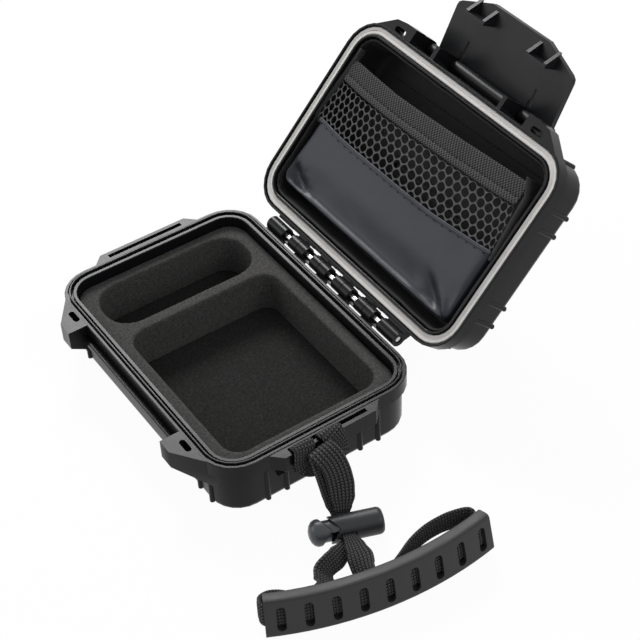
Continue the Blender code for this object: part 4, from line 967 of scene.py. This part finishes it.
    def net(self) -> None:
        """The net: slanted cells in rows from the hem to the band, a little loose."""
        low_x, high_x = self.band_ends[0] - 0.6, self.band_ends[1] + 2.6
        points: list[Point] = []
        faces: list[tuple[int, ...]] = []
        for column in range(*self.net_columns):
            for row in range(self.net_rows):
                right, up = column + 1, row + 1
                turns = ((column, row), (right, row - 0.5), (right, row), (right, row + 0.5))
                turns += ((column, up), (column, row + 0.5))
                cell = [self.net_node(*turn) for turn in turns]
                middle = sum(x for x, _ in cell) / len(cell)
                if self.net_ends[0] + 0.35 * row < middle < self.net_ends[1] - 0.5 * row:
                    faces.append(tuple(range(len(points), len(points) + len(cell))))
                    points.extend((x, y, 0.0) for x, y in cell)
        piece = Workshop.meshed("pocket_net", points, faces)
        with Workshop.editing(piece):
            bpy.ops.mesh.select_all(action="SELECT")
            bpy.ops.mesh.remove_doubles(threshold=1e-5)
            bpy.ops.mesh.inset(thickness=self.net_inset * MM, use_individual=True)
            bpy.ops.mesh.delete(type="FACE")
        middle, half = (low_x + high_x) / 2.0, (high_x - low_x) / 2.0
        for vertex in piece.data.vertices:
            x, y, _ = vertex.co / MM
            inside = max(0.0, 1.0 - ((x - middle) / half) ** 2)
            low = clamped((y - self.net_top) / self.net_tall)
            top = self.band_at(x)[2] - self.net_top
            y += top * (1.0 - low) + (self.hem_y(x) - 0.8) * low
            x += 0.5 * ripple(x, y, 1.0, 12.0) - 1.6 * (1.0 - low) * max(0.0, x / half)
            y += 0.4 * ripple(x, y, 4.0, 10.0)
            bulge = 0.8 * inside * math.sin(math.pi * low)
            z = self.net_z + 0.1 + bulge + 0.35 * ripple(x, y, 7.0, 14.0)
            vertex.co = Vector((x, y, z)) * MM
        Workshop.modify(piece, "SOLIDIFY", thickness=self.net_thread * MM, offset=0.0)
        Workshop.modify(piece, "SUBSURF", levels=2, render_levels=2)
        hung(piece, NET, 80.0, "pocket_mesh")

    def band(self) -> None:
        """The elastic band: two strips of webbing with a sewn line between them."""
        low, high = self.band_ends
        rings = []
        steps = 160
        across: list[float] = []
        for step in range(steps + 1):
            x = low + (high - low) * step / steps
            top, seam, foot = self.band_at(x)
            profile = [(top, 0.9), (top + 0.05, 0.35), (top + 0.5, 0.0), (top + 2.5, -0.1)]
            profile += [(seam - 3.0, -0.1), (seam - 0.6, 0.05), (seam - 0.12, 0.3)]
            profile += [(seam + 0.12, 0.3), (seam + 0.6, 0.02)]
            profile += [(seam + 1.8, -0.08), (foot - 0.6, 0.02), (foot - 0.05, 0.35), (foot, 0.9)]
            profile += [(foot - 0.6, 1.15), (seam, 1.15), (top + 0.6, 1.15)]
            across = [y - seam for y, _ in profile]
            lift = self.band_lift(x)
            rings.append([(x, y, self.band_z + z + lift) for y, z in profile])
        piece = Workshop.lofted("pocket_elastic", rings, True, True)
        wide = len(across)
        Workshop.mapped(piece, lambda i: (low + (high - low) * (i // wide) / steps, across[i % wide]))
        Workshop.modify(piece, "SUBSURF", levels=1, render_levels=1)
        hung(piece, ELASTIC, 60.0, "pocket_band")

    def sides(self) -> None:
        """The cloth ends between net, band and lining, gathered where the elastic pulls them."""
        for side, name in ((-1, "left"), (1, "right")):
            rings = []
            at_band = self.end_x[side > 0]
            for step in range(57):
                y = -37.0 + 40.5 * step / 56
                ends = max(0.0, (-29.0 - y) / 8.0)
                middle = at_band + 3.4 * (y + 34.0) / 34.0 - 3.5 * ends * (side > 0)
                row = []
                for turn in range(10):
                    angle = math.pi * turn / 9
                    crumple = (0.12 + 0.9 * ends) * ripple(y * 1.3, turn * 1.1, side * 3.0, 2.2)
                    x = middle - self.end_roll * math.cos(angle) + crumple
                    z = self.rim_z - (1.7 + 0.8 * ends) * math.sin(angle) + crumple
                    row.append((side * x, y + crumple, z))
                for inner in range(1, 11):
                    depth = inner / 10
                    pull = 0.35 * math.sin(y * 1.6 + depth * 4.0) * (1.0 - depth)
                    rolled = middle + self.end_roll
                    x = rolled + (self.end_wall - rolled) * depth + pull
                    row.append((side * x, y, self.rim_z + self.end_deep * depth))
                rings.append(row)
            piece = Workshop.lofted(f"pocket_end_{name}", rings, False)
            Workshop.modify(piece, "SOLIDIFY", thickness=0.5 * MM, offset=0.0)
            Workshop.modify(piece, "SUBSURF", levels=1, render_levels=1)
            hung(piece, LINING, 60.0, f"pocket_side_{name}")

    def stitching(self) -> None:
        """Rows of thread stitches: hem, band and the lining's back."""
        spots: list[tuple[float, float, float]] = []
        for step in range(24):
            x = -64.5 + 128.0 * step / 23
            y = self.hem_y(x) + 1.9
            spots.append((x, y, 32.68 + self.panel_rise(x, y)))
        for step in range(44):
            x = -65.0 + 125.0 * step / 43
            lift = self.band_lift(x)
            spots.append((x, self.band_at(x)[1], self.band_z + 0.2 + lift))
        for step in range(40):
            x = -58.0 + 112.0 * step / 39
            spots.append((x, -34.0 - 4.0 * step / 39, 52.0))
        points: list[Point] = []
        faces: list[tuple[int, ...]] = []
        sides, last = self.stitch_sides, len(self.stitch) - 1
        for x, y, z in spots:
            start = len(points)
            for along, wide in self.stitch:
                for turn in range(sides):
                    angle = 2.0 * math.pi * turn / sides
                    out, up = wide * math.cos(angle), 0.8 * wide * math.sin(angle)
                    points.append((x + along, y + out, z + up))
            for ring in range(last):
                for turn in range(sides):
                    after = (turn + 1) % sides
                    base = start + ring * sides
                    faces.append((base + turn, base + after, base + sides + after, base + sides + turn))
            faces.append(tuple(start + sides - 1 - turn for turn in range(sides)))
            faces.append(tuple(start + last * sides + turn for turn in range(sides)))
        piece = Workshop.meshed("lid_stitches", points, faces)
        hung(piece, THREAD, 80.0)


@dataclass
class HingeLedges:
    """Low ledges along the lid's hinge edge that leave narrow slits beside the knuckles."""

    pitch: float = 18.8
    window: float = 5.5
    end_x: float = 53.0
    root_y: float = 53.2
    by_knuckle: float = 54.5
    by_window: float = 54.3
    low_z: float = 31.6
    high_z: float = 34.0

    def build(self) -> None:
        """Models each ledge as a rounded bar on the lid's edge and joins them."""
        half = self.window / 2.0
        knuckle = (self.pitch - self.window) / 2.0
        bars: list[bpy.types.Object] = []
        for step in range(-2, 3):
            middle = self.pitch * step
            start = -self.end_x if step == -2 else middle - half - knuckle
            bars.append(self.bar(start, middle - half, self.by_knuckle))
            bars.append(self.bar(middle - half, middle + half + 0.2, self.by_window))
        Workshop.pick(bars[0])
        for bar in bars:
            bar.select_set(True)
        bpy.ops.object.join()
        piece = bpy.context.object
        piece.name = "lid_hinge_ledges"
        opened(piece)
        Workshop.smoothed(piece, 40.0)
        Workshop.dressed(piece, Body.LID, (SHELL,))

    def bar(self, low_x: float, high_x: float, front_y: float) -> bpy.types.Object:
        """One bar between two places along the hinge.

        Args:
            low_x: where it starts.
            high_x: where it ends.
            front_y: how far it reaches towards the pin.
        Returns:
            The bar.
        """
        low = Vector((low_x, self.root_y, self.low_z))
        high = Vector((high_x, front_y, self.high_z))
        middle, size = (low + high) / 2.0, high - low
        bpy.ops.object.select_all(action="DESELECT")
        bpy.ops.mesh.primitive_cube_add(size=1.0, location=middle * MM, scale=size * MM)
        bar = bpy.context.object
        bpy.ops.object.transform_apply(location=True, rotation=True, scale=True)
        Workshop.modify(bar, "BEVEL", width=0.25 * MM, segments=2, limit_method="ANGLE")
        return bar


@dataclass
class LidSeal:
    """The off-white seal in the lid's channel, with two fine lines moulded along it."""

    line_inset: float = 1.15
    line_wide: float = 0.22
    line_deep: float = 0.16
    edge: float = 0.18

    def build(self) -> None:
        """Copies the seal's solid, cuts the lines and rounds its edges."""
        piece = Workshop.copied("lid_seal", "lid_seal_rubber")
        facing = LID_TURN.to_3x3() @ Vector((0.0, 0.0, -1.0))
        with Workshop.editing(piece):
            bpy.ops.object.mode_set(mode="OBJECT")
            for face in piece.data.polygons:
                face.select = face.normal.dot(facing) > 0.95
            bpy.ops.object.mode_set(mode="EDIT")
            bpy.ops.mesh.inset(thickness=self.line_inset * MM)
            bpy.ops.mesh.inset(thickness=self.line_wide * MM, depth=-self.line_deep * MM)
            bpy.ops.mesh.inset(thickness=self.line_wide * MM, depth=self.line_deep * MM)
        Workshop.modify(
            piece,
            "BEVEL",
            width=self.edge * MM,
            segments=2,
            limit_method="ANGLE",
            angle_limit=math.radians(50.0),
        )
        Workshop.smoothed(piece, 40.0)
        Workshop.dressed(piece, Body.LID, (SEAL,), "lid_seal")


@dataclass
class CaseFoam:
    """The foam block and the sheet below it, with soft cut edges."""

    cells: int = 7
    waver: float = 0.12
    edge: float = 0.5

    def build(self) -> None:
        """Remeshes copies of both solids, wavers them and rounds their edges."""
        # The base pad gets the darker foam finish: painted shade on the pocket floors.
        for node, finish in (("foam_insert", FOAM), ("foam_base_pad", FOAM_SHEET_PAINTED_SHADE)):
            piece = Workshop.copied(node, f"{node}_cut")
            settings = {"mode": "SHARP", "octree_depth": self.cells, "scale": 0.9, "sharpness": 1.0}
            Workshop.modify(piece, "REMESH", **settings)
            normals = [vertex.normal.copy() for vertex in piece.data.vertices]
            for vertex, normal in zip(piece.data.vertices, normals):
                x, y, z = vertex.co / MM
                vertex.co += normal * (self.waver * ripple(x, y, z, 7.0) * MM)
            Workshop.modify(
                piece,
                "BEVEL",
                width=self.edge * MM,
                segments=2,
                limit_method="ANGLE",
                angle_limit=math.radians(50.0),
            )
            Workshop.smoothed(piece, 60.0)
            Workshop.dressed(piece, Body.BASE, (finish,), node)


# Strap

Row = tuple[Vector, float, Vector]
TO_RIGHT = (0.0, 1.0, 0.0)
TO_LEFT = (0.0, -1.0, 0.0)
UPRIGHT = (0.0, 0.0, 1.0)
FOLD_RIGHT = (-0.1, 0.985, 0.115)
FOLD_LEFT = (0.1, -0.985, -0.115)


def eased(rows: Sequence[Row], per_span: int) -> list[Row]:
    """Rows with more rows on a smooth line between them.

    Args:
        rows: middle, width and width direction of each row.
        per_span: number of steps from one row to the next.
    Returns:
        The finer rows.
    """
    finer: list[Row] = []
    for index in range(len(rows) - 1):
        four = [rows[max(0, min(len(rows) - 1, index + shift))] for shift in (-1, 0, 1, 2)]
        for step in range(per_span):
            t = step / per_span
            parts = (
                -0.5 * t + t * t - 0.5 * t ** 3,
                1.0 - 2.5 * t * t + 1.5 * t ** 3,
                0.5 * t + 2.0 * t * t - 1.5 * t ** 3,
                -0.5 * t * t + 0.5 * t ** 3,
            )
            middle = sum((row[0] * part for row, part in zip(four, parts)), Vector())
            wide = four[1][1] + (four[2][1] - four[1][1]) * (3 * t * t - 2 * t ** 3)
            across = four[1][2].lerp(four[2][2], t)
            finer.append((middle, wide, across))
    finer.append(rows[-1])
    return finer


@dataclass
class HandStrap:
    """The braided strap: hitch on the loop, legs, lock, tails and the stretch inside the grip."""

    wide: float = 11.6
    thick: float = 1.6
    in_lock: float = 6.2
    lock_spot: Vector = field(default_factory=lambda: Vector((113.3, -13.9, 6.2)))
    lock_axis: Vector = field(default_factory=lambda: Vector((0.36, 0.933, 0.0)))
    lock_pass: Vector = field(default_factory=lambda: Vector((0.933, -0.36, 0.0)))
    lock_radius: float = 6.1
    apart: float = 0.95
    give_from: float = 0.7
    give_to: float = 14.0
    ribs: int = 7
    per_rib: int = 4
    back_map: float = 20.3
    grip_a: Vector = field(default_factory=lambda: Vector((139.4, -72.4, 0.0)))
    grip_b: Vector = field(default_factory=lambda: Vector((157.7, 32.6, 0.0)))
    grip_bow: float = 8.6
    grip_lean: float = 12.0
    grip_tall: float = 19.8
    grip_raise: float = 1.5
    grip_depth: float = 3.0

    def at_lock(self, passing: float, up: float) -> Vector:
        """A point on the strap's way through the lock and a height above its middle."""
        return self.lock_spot + self.lock_pass * passing + Vector((0, 0, up))

    def lock_row(self, passing: float, lift: float, wide: float) -> Row:
        """A strap row in or beside the lock, upper stretch with a lift above zero.

        Args:
            passing: place along the strap's way through the lock.
            lift: height in units of the gap between the stretches.
            wide: the strap's width there.
        Returns:
            The row.
        """
        side = self.lock_axis if lift > 0.0 else -self.lock_axis
        return self.at_lock(passing, self.apart * lift), wide, side

    def grip_at(self, reach: float, depth: float, side: int) -> Row:
        """A strap row at a distance past one end of the grip.

        Args:
            reach: distance past the end along the arc.
            depth: depth behind the front face.
            side: -1 for the left end and 1 for the right one.
        Returns:
            The row.
        """
        chord = (self.grip_b - self.grip_a).length
        radius = (chord * chord / 4 + self.grip_bow ** 2) / (2 * self.grip_bow)
        most = math.asin(chord / 2 / radius)
        along = (self.grip_b - self.grip_a).normalized()
        out = Vector((along.y, -along.x, 0.0))
        centre = (self.grip_a + self.grip_b) / 2 - out * (radius - self.grip_bow)
        turn = side * (most + reach / radius)
        radial = out * math.cos(turn) + along * math.sin(turn)
        foot = centre + radial * radius + Vector((0, 0, self.grip_raise))
        lean = math.radians(self.grip_lean)
        inward = radial * -math.cos(lean) - Vector((0, 0, math.sin(lean)))
        upward = radial * -math.sin(lean) + Vector((0, 0, math.cos(lean)))
        spot = foot + inward * depth + upward * (self.grip_tall / 2)
        return spot, self.wide, upward * -1.0

    def row(self, x: float, y: float, z: float, wide: float, axis: Point) -> Row:
        """A strap row from plain numbers."""
        return Vector((x, y, z)), wide, Vector(axis).normalized()

    def case_side(self) -> list[Row]:
        """The strap from inside the lock, up to the hitch on the loop and back.

        Returns:
            Rows along this stretch.
        """
        front = [
            self.lock_row(2.5, 1.0, self.in_lock),
            self.lock_row(-6.1, 1.0, 6.4),
            self.row(105.9, -10.6, 10.2, 8.8, (0.25, 0.96, 0.0)),
            self.row(103.4, -8.9, 14.0, 12.0, (0.15, 0.98, 0.0)),
            self.row(100.0, -7.3, 18.4, 13.2, (0.05, 1.0, 0.0)),
            self.row(96.6, -6.6, 22.6, 13.4, TO_RIGHT),
            self.row(93.6, -7.0, 26.4, 13.4, (-0.05, 1.0, 0.06)),
            self.row(91.4, -8.2, 29.2, 13.4, FOLD_RIGHT),
            self.row(88.6, -9.0, 30.4, 13.2, FOLD_RIGHT),
            self.row(86.0, -8.6, 29.0, 13.0, FOLD_RIGHT),
            self.row(85.0, -7.6, 26.0, 12.6, (0.0, 1.0, 0.05)),
        ]
        right = [
            self.row(84.9, -5.6, 22.4, 11.8, TO_RIGHT),
            self.row(84.2, -3.6, 19.9, 11.4, TO_RIGHT),
            self.row(82.4, -2.2, 19.4, 11.4, TO_RIGHT),
            self.row(80.7, -1.4, 20.6, 11.4, TO_RIGHT),
            self.row(80.3, -0.9, 26.0, 11.6, TO_RIGHT),
            self.row(80.8, -0.7, 31.2, 11.8, TO_RIGHT),
            self.row(82.4, -0.6, 32.4, 11.6, TO_RIGHT),
            self.row(84.2, 0.2, 31.4, 11.0, TO_RIGHT),
            self.row(85.0, 1.6, 28.6, 9.6, TO_RIGHT),
            self.row(85.9, 3.0, 25.2, 8.6, (0.0, 0.95, -0.25)),
        ]
        bight = [
            self.row(87.2, 2.2, 22.0, 8.8, (0.1, 0.6, -0.8)),
            self.row(88.2, -1.2, 20.6, 9.6, (0.0, 0.1, -1.0)),
            self.row(88.5, -7.0, 20.4, 10.4, (0.0, 0.0, -1.0)),
            self.row(88.1, -12.4, 20.6, 9.6, (0.0, -0.1, -1.0)),
            self.row(87.0, -16.0, 22.6, 8.8, (0.0, -0.65, -0.75)),
        ]
        left = [
            self.row(85.8, -16.4, 26.2, 9.0, (0.0, -0.97, -0.25)),
            self.row(84.9, -15.4, 29.6, 10.0, TO_LEFT),
            self.row(84.1, -14.8, 31.6, 10.8, TO_LEFT),
            self.row(82.4, -14.6, 32.4, 11.0, TO_LEFT),
            self.row(80.8, -14.6, 31.2, 11.0, TO_LEFT),
            self.row(80.3, -14.6, 26.0, 10.8, TO_LEFT),
            self.row(80.6, -14.4, 19.6, 10.6, TO_LEFT),
            self.row(82.3, -14.0, 17.9, 10.6, TO_LEFT),
            self.row(84.6, -12.8, 18.2, 10.8, TO_LEFT),
            self.row(86.4, -11.0, 20.4, 11.4, TO_LEFT),
            self.row(86.75, -9.6, 24.0, 12.0, (0.0, -1.0, -0.05)),
        ]
        back = [
            self.row(87.2, -9.2, 26.6, 12.4, FOLD_LEFT),
            self.row(88.6, -9.2, 28.3, 12.6, FOLD_LEFT),
            self.row(90.2, -9.4, 27.2, 12.6, FOLD_LEFT),
            self.row(92.0, -9.6, 24.4, 12.6, (0.05, -1.0, -0.05)),
            self.row(95.0, -9.9, 20.2, 12.4, TO_LEFT),
            self.row(98.6, -10.4, 15.6, 12.2, (-0.05, -1.0, 0.0)),
            self.row(102.2, -11.2, 11.0, 11.0, (-0.15, -0.98, 0.0)),
            self.row(105.0, -11.8, 7.6, 8.4, (-0.25, -0.96, 0.0)),
            self.lock_row(-6.1, -1.0, self.in_lock),
            self.lock_row(-2.0, -1.0, self.in_lock),
        ]
        return front + right + bight + left + back

    def grip_side(self) -> list[Row]:
        """The strap from inside the lock, round and through the grip and back.

        Returns:
            Rows along this stretch.
        """
        tail_left = [
            self.lock_row(-1.4, -1.0, self.in_lock),
            self.lock_row(5.4, -1.1, self.in_lock),
            self.lock_row(7.0, -1.6, self.in_lock),
            self.row(122.4, -21.6, 5.2, 8.2, (-0.35, -0.75, 0.45)),
            self.row(124.8, -27.6, 6.0, 10.8, (-0.35, -0.55, 0.75)),
            self.row(126.2, -32.6, 6.3, self.wide, (-0.3, -0.35, 0.9)),
            self.row(128.6, -36.2, 6.1, self.wide, (-0.4, -0.6, 0.7)),
            self.row(133.4, -39.0, 6.3, self.wide, (-0.4, -0.7, 0.6)),
            self.row(136.4, -43.4, 7.2, self.wide, (-0.2, -0.3, 0.95)),
            self.row(137.0, -51.0, 8.4, self.wide, (-0.1, 0.0, 1.0)),
        ]
        loop = ((-13.0, 9.4), (-7.5, 11.6), (-2.5, 11.9), (1.2, 9.6))
        loop += ((1.5, 6.2), (0.3, 3.8), (-2.4, 3.0))
        turns = ((-0.9, 8.1), (0.7, 6.2), (0.4, 4.1), (-2.2, 3.0))
        into = [self.flipped(self.grip_at(reach, depth, -1)) for reach, depth in loop]
        reaches = [-8.0 - 11.4 * step for step in range(9)]
        inside = [self.flipped(self.grip_at(reach, self.grip_depth, -1)) for reach in reaches]
        out = [self.flipped(self.grip_at(reach, depth, 1)) for reach, depth in reversed(turns)]
        tail_right = [
            self.row(143.2, 30.0, 10.8, self.wide, (-0.1, 0.0, 1.0)),
            self.row(140.0, 23.6, 10.4, self.wide, (-0.05, 0.0, 1.0)),
            self.row(138.6, 17.2, 10.0, self.wide, UPRIGHT),
            self.row(138.2, 9.4, 9.0, self.wide, UPRIGHT),
            self.row(139.8, 1.0, 8.1, self.wide, UPRIGHT),
            self.row(143.4, -8.0, 7.2, self.wide, UPRIGHT),
            self.row(145.2, -14.2, 6.4, self.wide, (0.0, 0.05, 1.0)),
            self.row(143.0, -19.8, 6.3, self.wide, (0.1, 0.3, 0.95)),
            self.row(138.0, -21.4, 6.9, self.wide, (0.3, 0.72, 0.62)),
            self.row(132.0, -19.6, 8.2, self.wide, (0.34, 0.9, 0.28)),
            self.row(126.0, -17.9, 8.4, 9.0, (0.3, 0.95, 0.1)),
            self.lock_row(7.0, 1.6, self.in_lock),
            self.lock_row(5.4, 1.1, self.in_lock),
            self.lock_row(3.1, 1.0, self.in_lock),
        ]
        return tail_left + into + inside + out + tail_right

    def flipped(self, row: Row) -> Row:
        """The same row with its width direction turned round."""
        return row[0], row[1], row[2] * -1.0

    def build(self) -> None:
        """Makes both stretches."""
        near, far = self.lock_radius + self.give_from, self.lock_radius + self.give_to
        legs = ("strap_hitch", "strap_leg_front", "strap_leg_back")
        tails = ("strap_tail_left", "strap_in_grip", "strap_tail_right")
        case_side = self.braid("hand_strap_hitch", self.case_side(), legs)
        grip_side = self.braid("hand_strap_tails", self.grip_side(), tails)
        for piece, side in ((case_side, -1.0), (grip_side, 1.0)):
            start = self.at_lock(side * far, 0.0) * MM
            end = self.at_lock(side * near, 0.0) * MM
            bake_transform(piece)

    def braid(self, name: str, route: Sequence[Row], nodes: Sequence[str]) -> bpy.types.Object:
        """Args:
            name: the piece's name.
            route: rows along the stretch.
            nodes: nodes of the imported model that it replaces.
        Returns:
            The piece.
        """
        rows = eased(route, 8)
        section: list[tuple[float, float]] = []
        steps = self.ribs * self.per_rib
        for step in range(steps + 1):
            share = step / steps
            rib = 0.2 * math.cos(2.0 * math.pi * (share * self.ribs - 0.5))
            edge = 1.0 - abs(2.0 * share - 1.0) ** 6
            section.append((share - 0.5, 0.5 * edge ** 0.5 * (1.0 + rib) + 0.04))
        outline = section + [(u, -v) for u, v in reversed(section)]
        rings: list[list[Vector]] = []
        spots = [row[0] for row in rows]
        travel = [0.0]
        for before, after in zip(spots, spots[1:]):
            travel.append(travel[-1] + (after - before).length)
        for index, (middle, wide, across) in enumerate(rows):
            ahead = spots[min(index + 1, len(spots) - 1)]
            behind = spots[max(index - 1, 0)]
            along = (ahead - behind).normalized()
            sideways = (across - along * across.dot(along)).normalized()
            face = along.cross(sideways)
            rings.append([middle + sideways * (u * wide) + face * (v * self.thick) for u, v in outline])
        piece = Workshop.lofted(name, rings, True, True)
        count, turned = len(outline), len(section)

        def laid(index: int) -> tuple[float, float]:
            """A vertex's place along the strap and across its front or back."""
            ring, spot = divmod(index, count)
            return travel[ring], outline[spot][0] * self.wide + self.back_map * (spot >= turned)

        Workshop.mapped(piece, laid)
        Workshop.outward(piece)
        Workshop.smoothed(piece, 70.0)
        piece.data.materials.append(BRAID.material())
        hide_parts(*nodes)
        path = [tuple(spot * MM) for spot in spots]
        LOG.info("%s: %.1f mm long", name, travel[-1])
        return piece


@dataclass
class LockSpring:
    """The spring behind the lock's button."""

    press: float = 3.5

    def build(self, axis: Vector) -> None:
        """Dresses the spring.

        Args:
            axis: direction that the button is pressed in; not used.
        """
        piece = Rigid("cord_lock_spring", Body.LOCK, PIN, PIN, 0.02, 80.0, 80.0).build()
        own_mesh(piece)


# Camera, floor and light


@dataclass(frozen=True)
class Lamp:
    """A large soft lamp: place and target in metres, side of its square, power in watts."""

    name: str
    spot: Point
    target: Point
    size: float
    power: float

    def build(self) -> None:
        """Adds the lamp to the scene."""
        data = bpy.data.lights.new(self.name, "AREA")
        data.size = self.size
        data.energy = self.power
        lamp = bpy.data.objects.new(self.name, data)
        bpy.context.scene.collection.objects.link(lamp)
        lamp.location = self.spot
        lamp.rotation_mode = "QUATERNION"
        facing = Vector(self.target) - Vector(self.spot)
        lamp.rotation_quaternion = facing.to_track_quat("-Z", "Y")


LAMPS = (
    Lamp("lamp_over_back", (-0.92, 0.42, 0.92), (0.0, 0.03, 0.03), 0.45, 14.0),
    Lamp("lamp_left_front", (-0.85, -0.95, 0.6), (0.0, 0.08, 0.08), 0.8, 4.0),
    Lamp("lamp_right", (1.1, 0.55, 0.9), (0.05, 0.0, 0.04), 0.9, 5.0),
)


@dataclass
class Studio:
    """Camera at the photograph's place, pale floor and soft light."""

    lens: float = 92.57
    spot: tuple[float, float, float] = (0.49903, -0.26286, 0.5583)
    azimuth: float = 57.941
    elevation: float = 43.048
    roll: float = -3.277

    floor_size: float = 12.0
    floor_tone: float = 0.9
    floor_glow: float = 0.96
    world_fill: float = 0.38

    def build(self) -> None:
        """Sets up everything that isn't the object."""
        self.camera()
        self.floor()
        self.world()
        for lamp in LAMPS:
            lamp.build()

    def camera(self) -> None:
        """The camera."""
        turn, rise, roll = (math.radians(value) for value in (self.azimuth, self.elevation, self.roll))
        level = math.cos(rise)
        ahead = Vector((-math.sin(turn) * level, math.cos(turn) * level, -math.sin(rise)))
        right = Vector((math.cos(turn), math.sin(turn), 0.0))
        up = right.cross(ahead)
        side = right * math.cos(roll) + up * math.sin(roll)
        top = up * math.cos(roll) - right * math.sin(roll)
        data = bpy.data.cameras.new("camera")
        data.lens = self.lens
        data.sensor_width = 36.0
        data.clip_start = 0.01
        camera = bpy.data.objects.new("camera", data)
        bpy.context.scene.collection.objects.link(camera)
        camera.matrix_world = Matrix(
            (
                (side.x, top.x, -ahead.x, self.spot[0]),
                (side.y, top.y, -ahead.y, self.spot[1]),
                (side.z, top.z, -ahead.z, self.spot[2]),
                (0.0, 0.0, 0.0, 1.0),
            )
        )
        bpy.context.scene.camera = camera

    def floor(self) -> None:
        """A pale floor that reads white to the camera and keeps a faint shadow."""
        bpy.ops.object.select_all(action="DESELECT")
        bpy.ops.mesh.primitive_plane_add(size=self.floor_size, location=(0.0, 0.0, -0.0002))
        floor = bpy.context.object
        floor.name = "floor"
        with Workshop.editing(floor):
            bpy.ops.mesh.select_all(action="SELECT")
            bpy.ops.mesh.subdivide(number_cuts=3)
        shader = Shader("floor_paper")
        shader.set(Base_Color=(*grey(self.floor_tone), 1.0), Roughness=0.9)
        path = shader.node("ShaderNodeLightPath", {}, {})
        seen = path["Is Camera Ray"].at_least(path["Is Glossy Ray"])
        seen = seen.at_least(path["Is Transmission Ray"])
        glow = shader.node("ShaderNodeEmission", {}, {"Color": (1.0, 1.0, 1.0, 1.0), "Strength": 1.0})
        inputs = {0: seen * self.floor_glow, 1: shader.surface["BSDF"], 2: glow["Emission"]}
        mixed = shader.node("ShaderNodeMixShader", {}, inputs)
        output = [node for node in shader.tree.nodes if node.type == "OUTPUT_MATERIAL"][0]
        shader.tree.links.new(output.inputs["Surface"], mixed["Shader"].socket)
        floor.data.materials.append(shader.material)

    def world(self) -> None:
        """White for what the camera, gloss and glass see, softer for the rest."""
        world = bpy.data.worlds.new("studio_white")
        bpy.context.scene.world = world
        world.use_nodes = True
        tree = world.node_tree
        path = tree.nodes.new("ShaderNodeLightPath")
        background = tree.nodes["Background"]
        background.inputs["Color"].default_value = (1.0, 1.0, 1.0, 1.0)
        seen = path.outputs["Is Camera Ray"]
        for kind in ("Is Glossy Ray", "Is Transmission Ray"):
            most = tree.nodes.new("ShaderNodeMath")
            most.operation = "MAXIMUM"
            tree.links.new(most.inputs[0], seen)
            tree.links.new(most.inputs[1], path.outputs[kind])
            seen = most.outputs["Value"]
        level = tree.nodes.new("ShaderNodeMapRange")
        level.inputs["To Min"].default_value = self.world_fill
        level.inputs["To Max"].default_value = 1.0
        tree.links.new(level.inputs["Value"], seen)
        tree.links.new(background.inputs["Strength"], level.outputs["Result"])


def main() -> None:
    """Builds the pieces in order."""
    logging.basicConfig(level=logging.INFO, format="%(message)s")
    bpy.context.scene.view_settings.view_transform = "Standard"
    Studio().build()
    strap = HandStrap()
    strap.build()
    Rigid("base_shell", Body.BASE, SHELL, SHELL_PAINTED_HIGHLIGHT).build()
    Rigid("lid_shell", Body.LID, SHELL, SHELL_PAINTED_HIGHLIGHT).build()
    Rigid("latch_flap", Body.LATCH, LATCH, LATCH_PAINTED_HIGHLIGHT, 0.25).build()
    Rigid("hand_grip", Body.BASE, GRIP, GRIP_PAINTED_HIGHLIGHT, 0.9).build()
    Rigid("cord_lock_body", Body.LOCK, LOCK, LOCK_PAINTED_HIGHLIGHT, 0.3).build()
    Rigid("cord_lock_button", Body.BUTTON, BUTTON, LOCK_PAINTED_HIGHLIGHT, 0.3).build()
    Rigid("hinge_pin", Body.BASE, PIN, PIN, 0.2).build()
    Rigid("latch_pin", Body.LID, PIN, PIN, 0.2).build()
    LockSpring().build(strap.lock_axis)
    HingeLedges().build()
    LidSeal().build()
    LidCloth().build()
    CaseFoam().build()


if __name__ == "__main__":
    main()
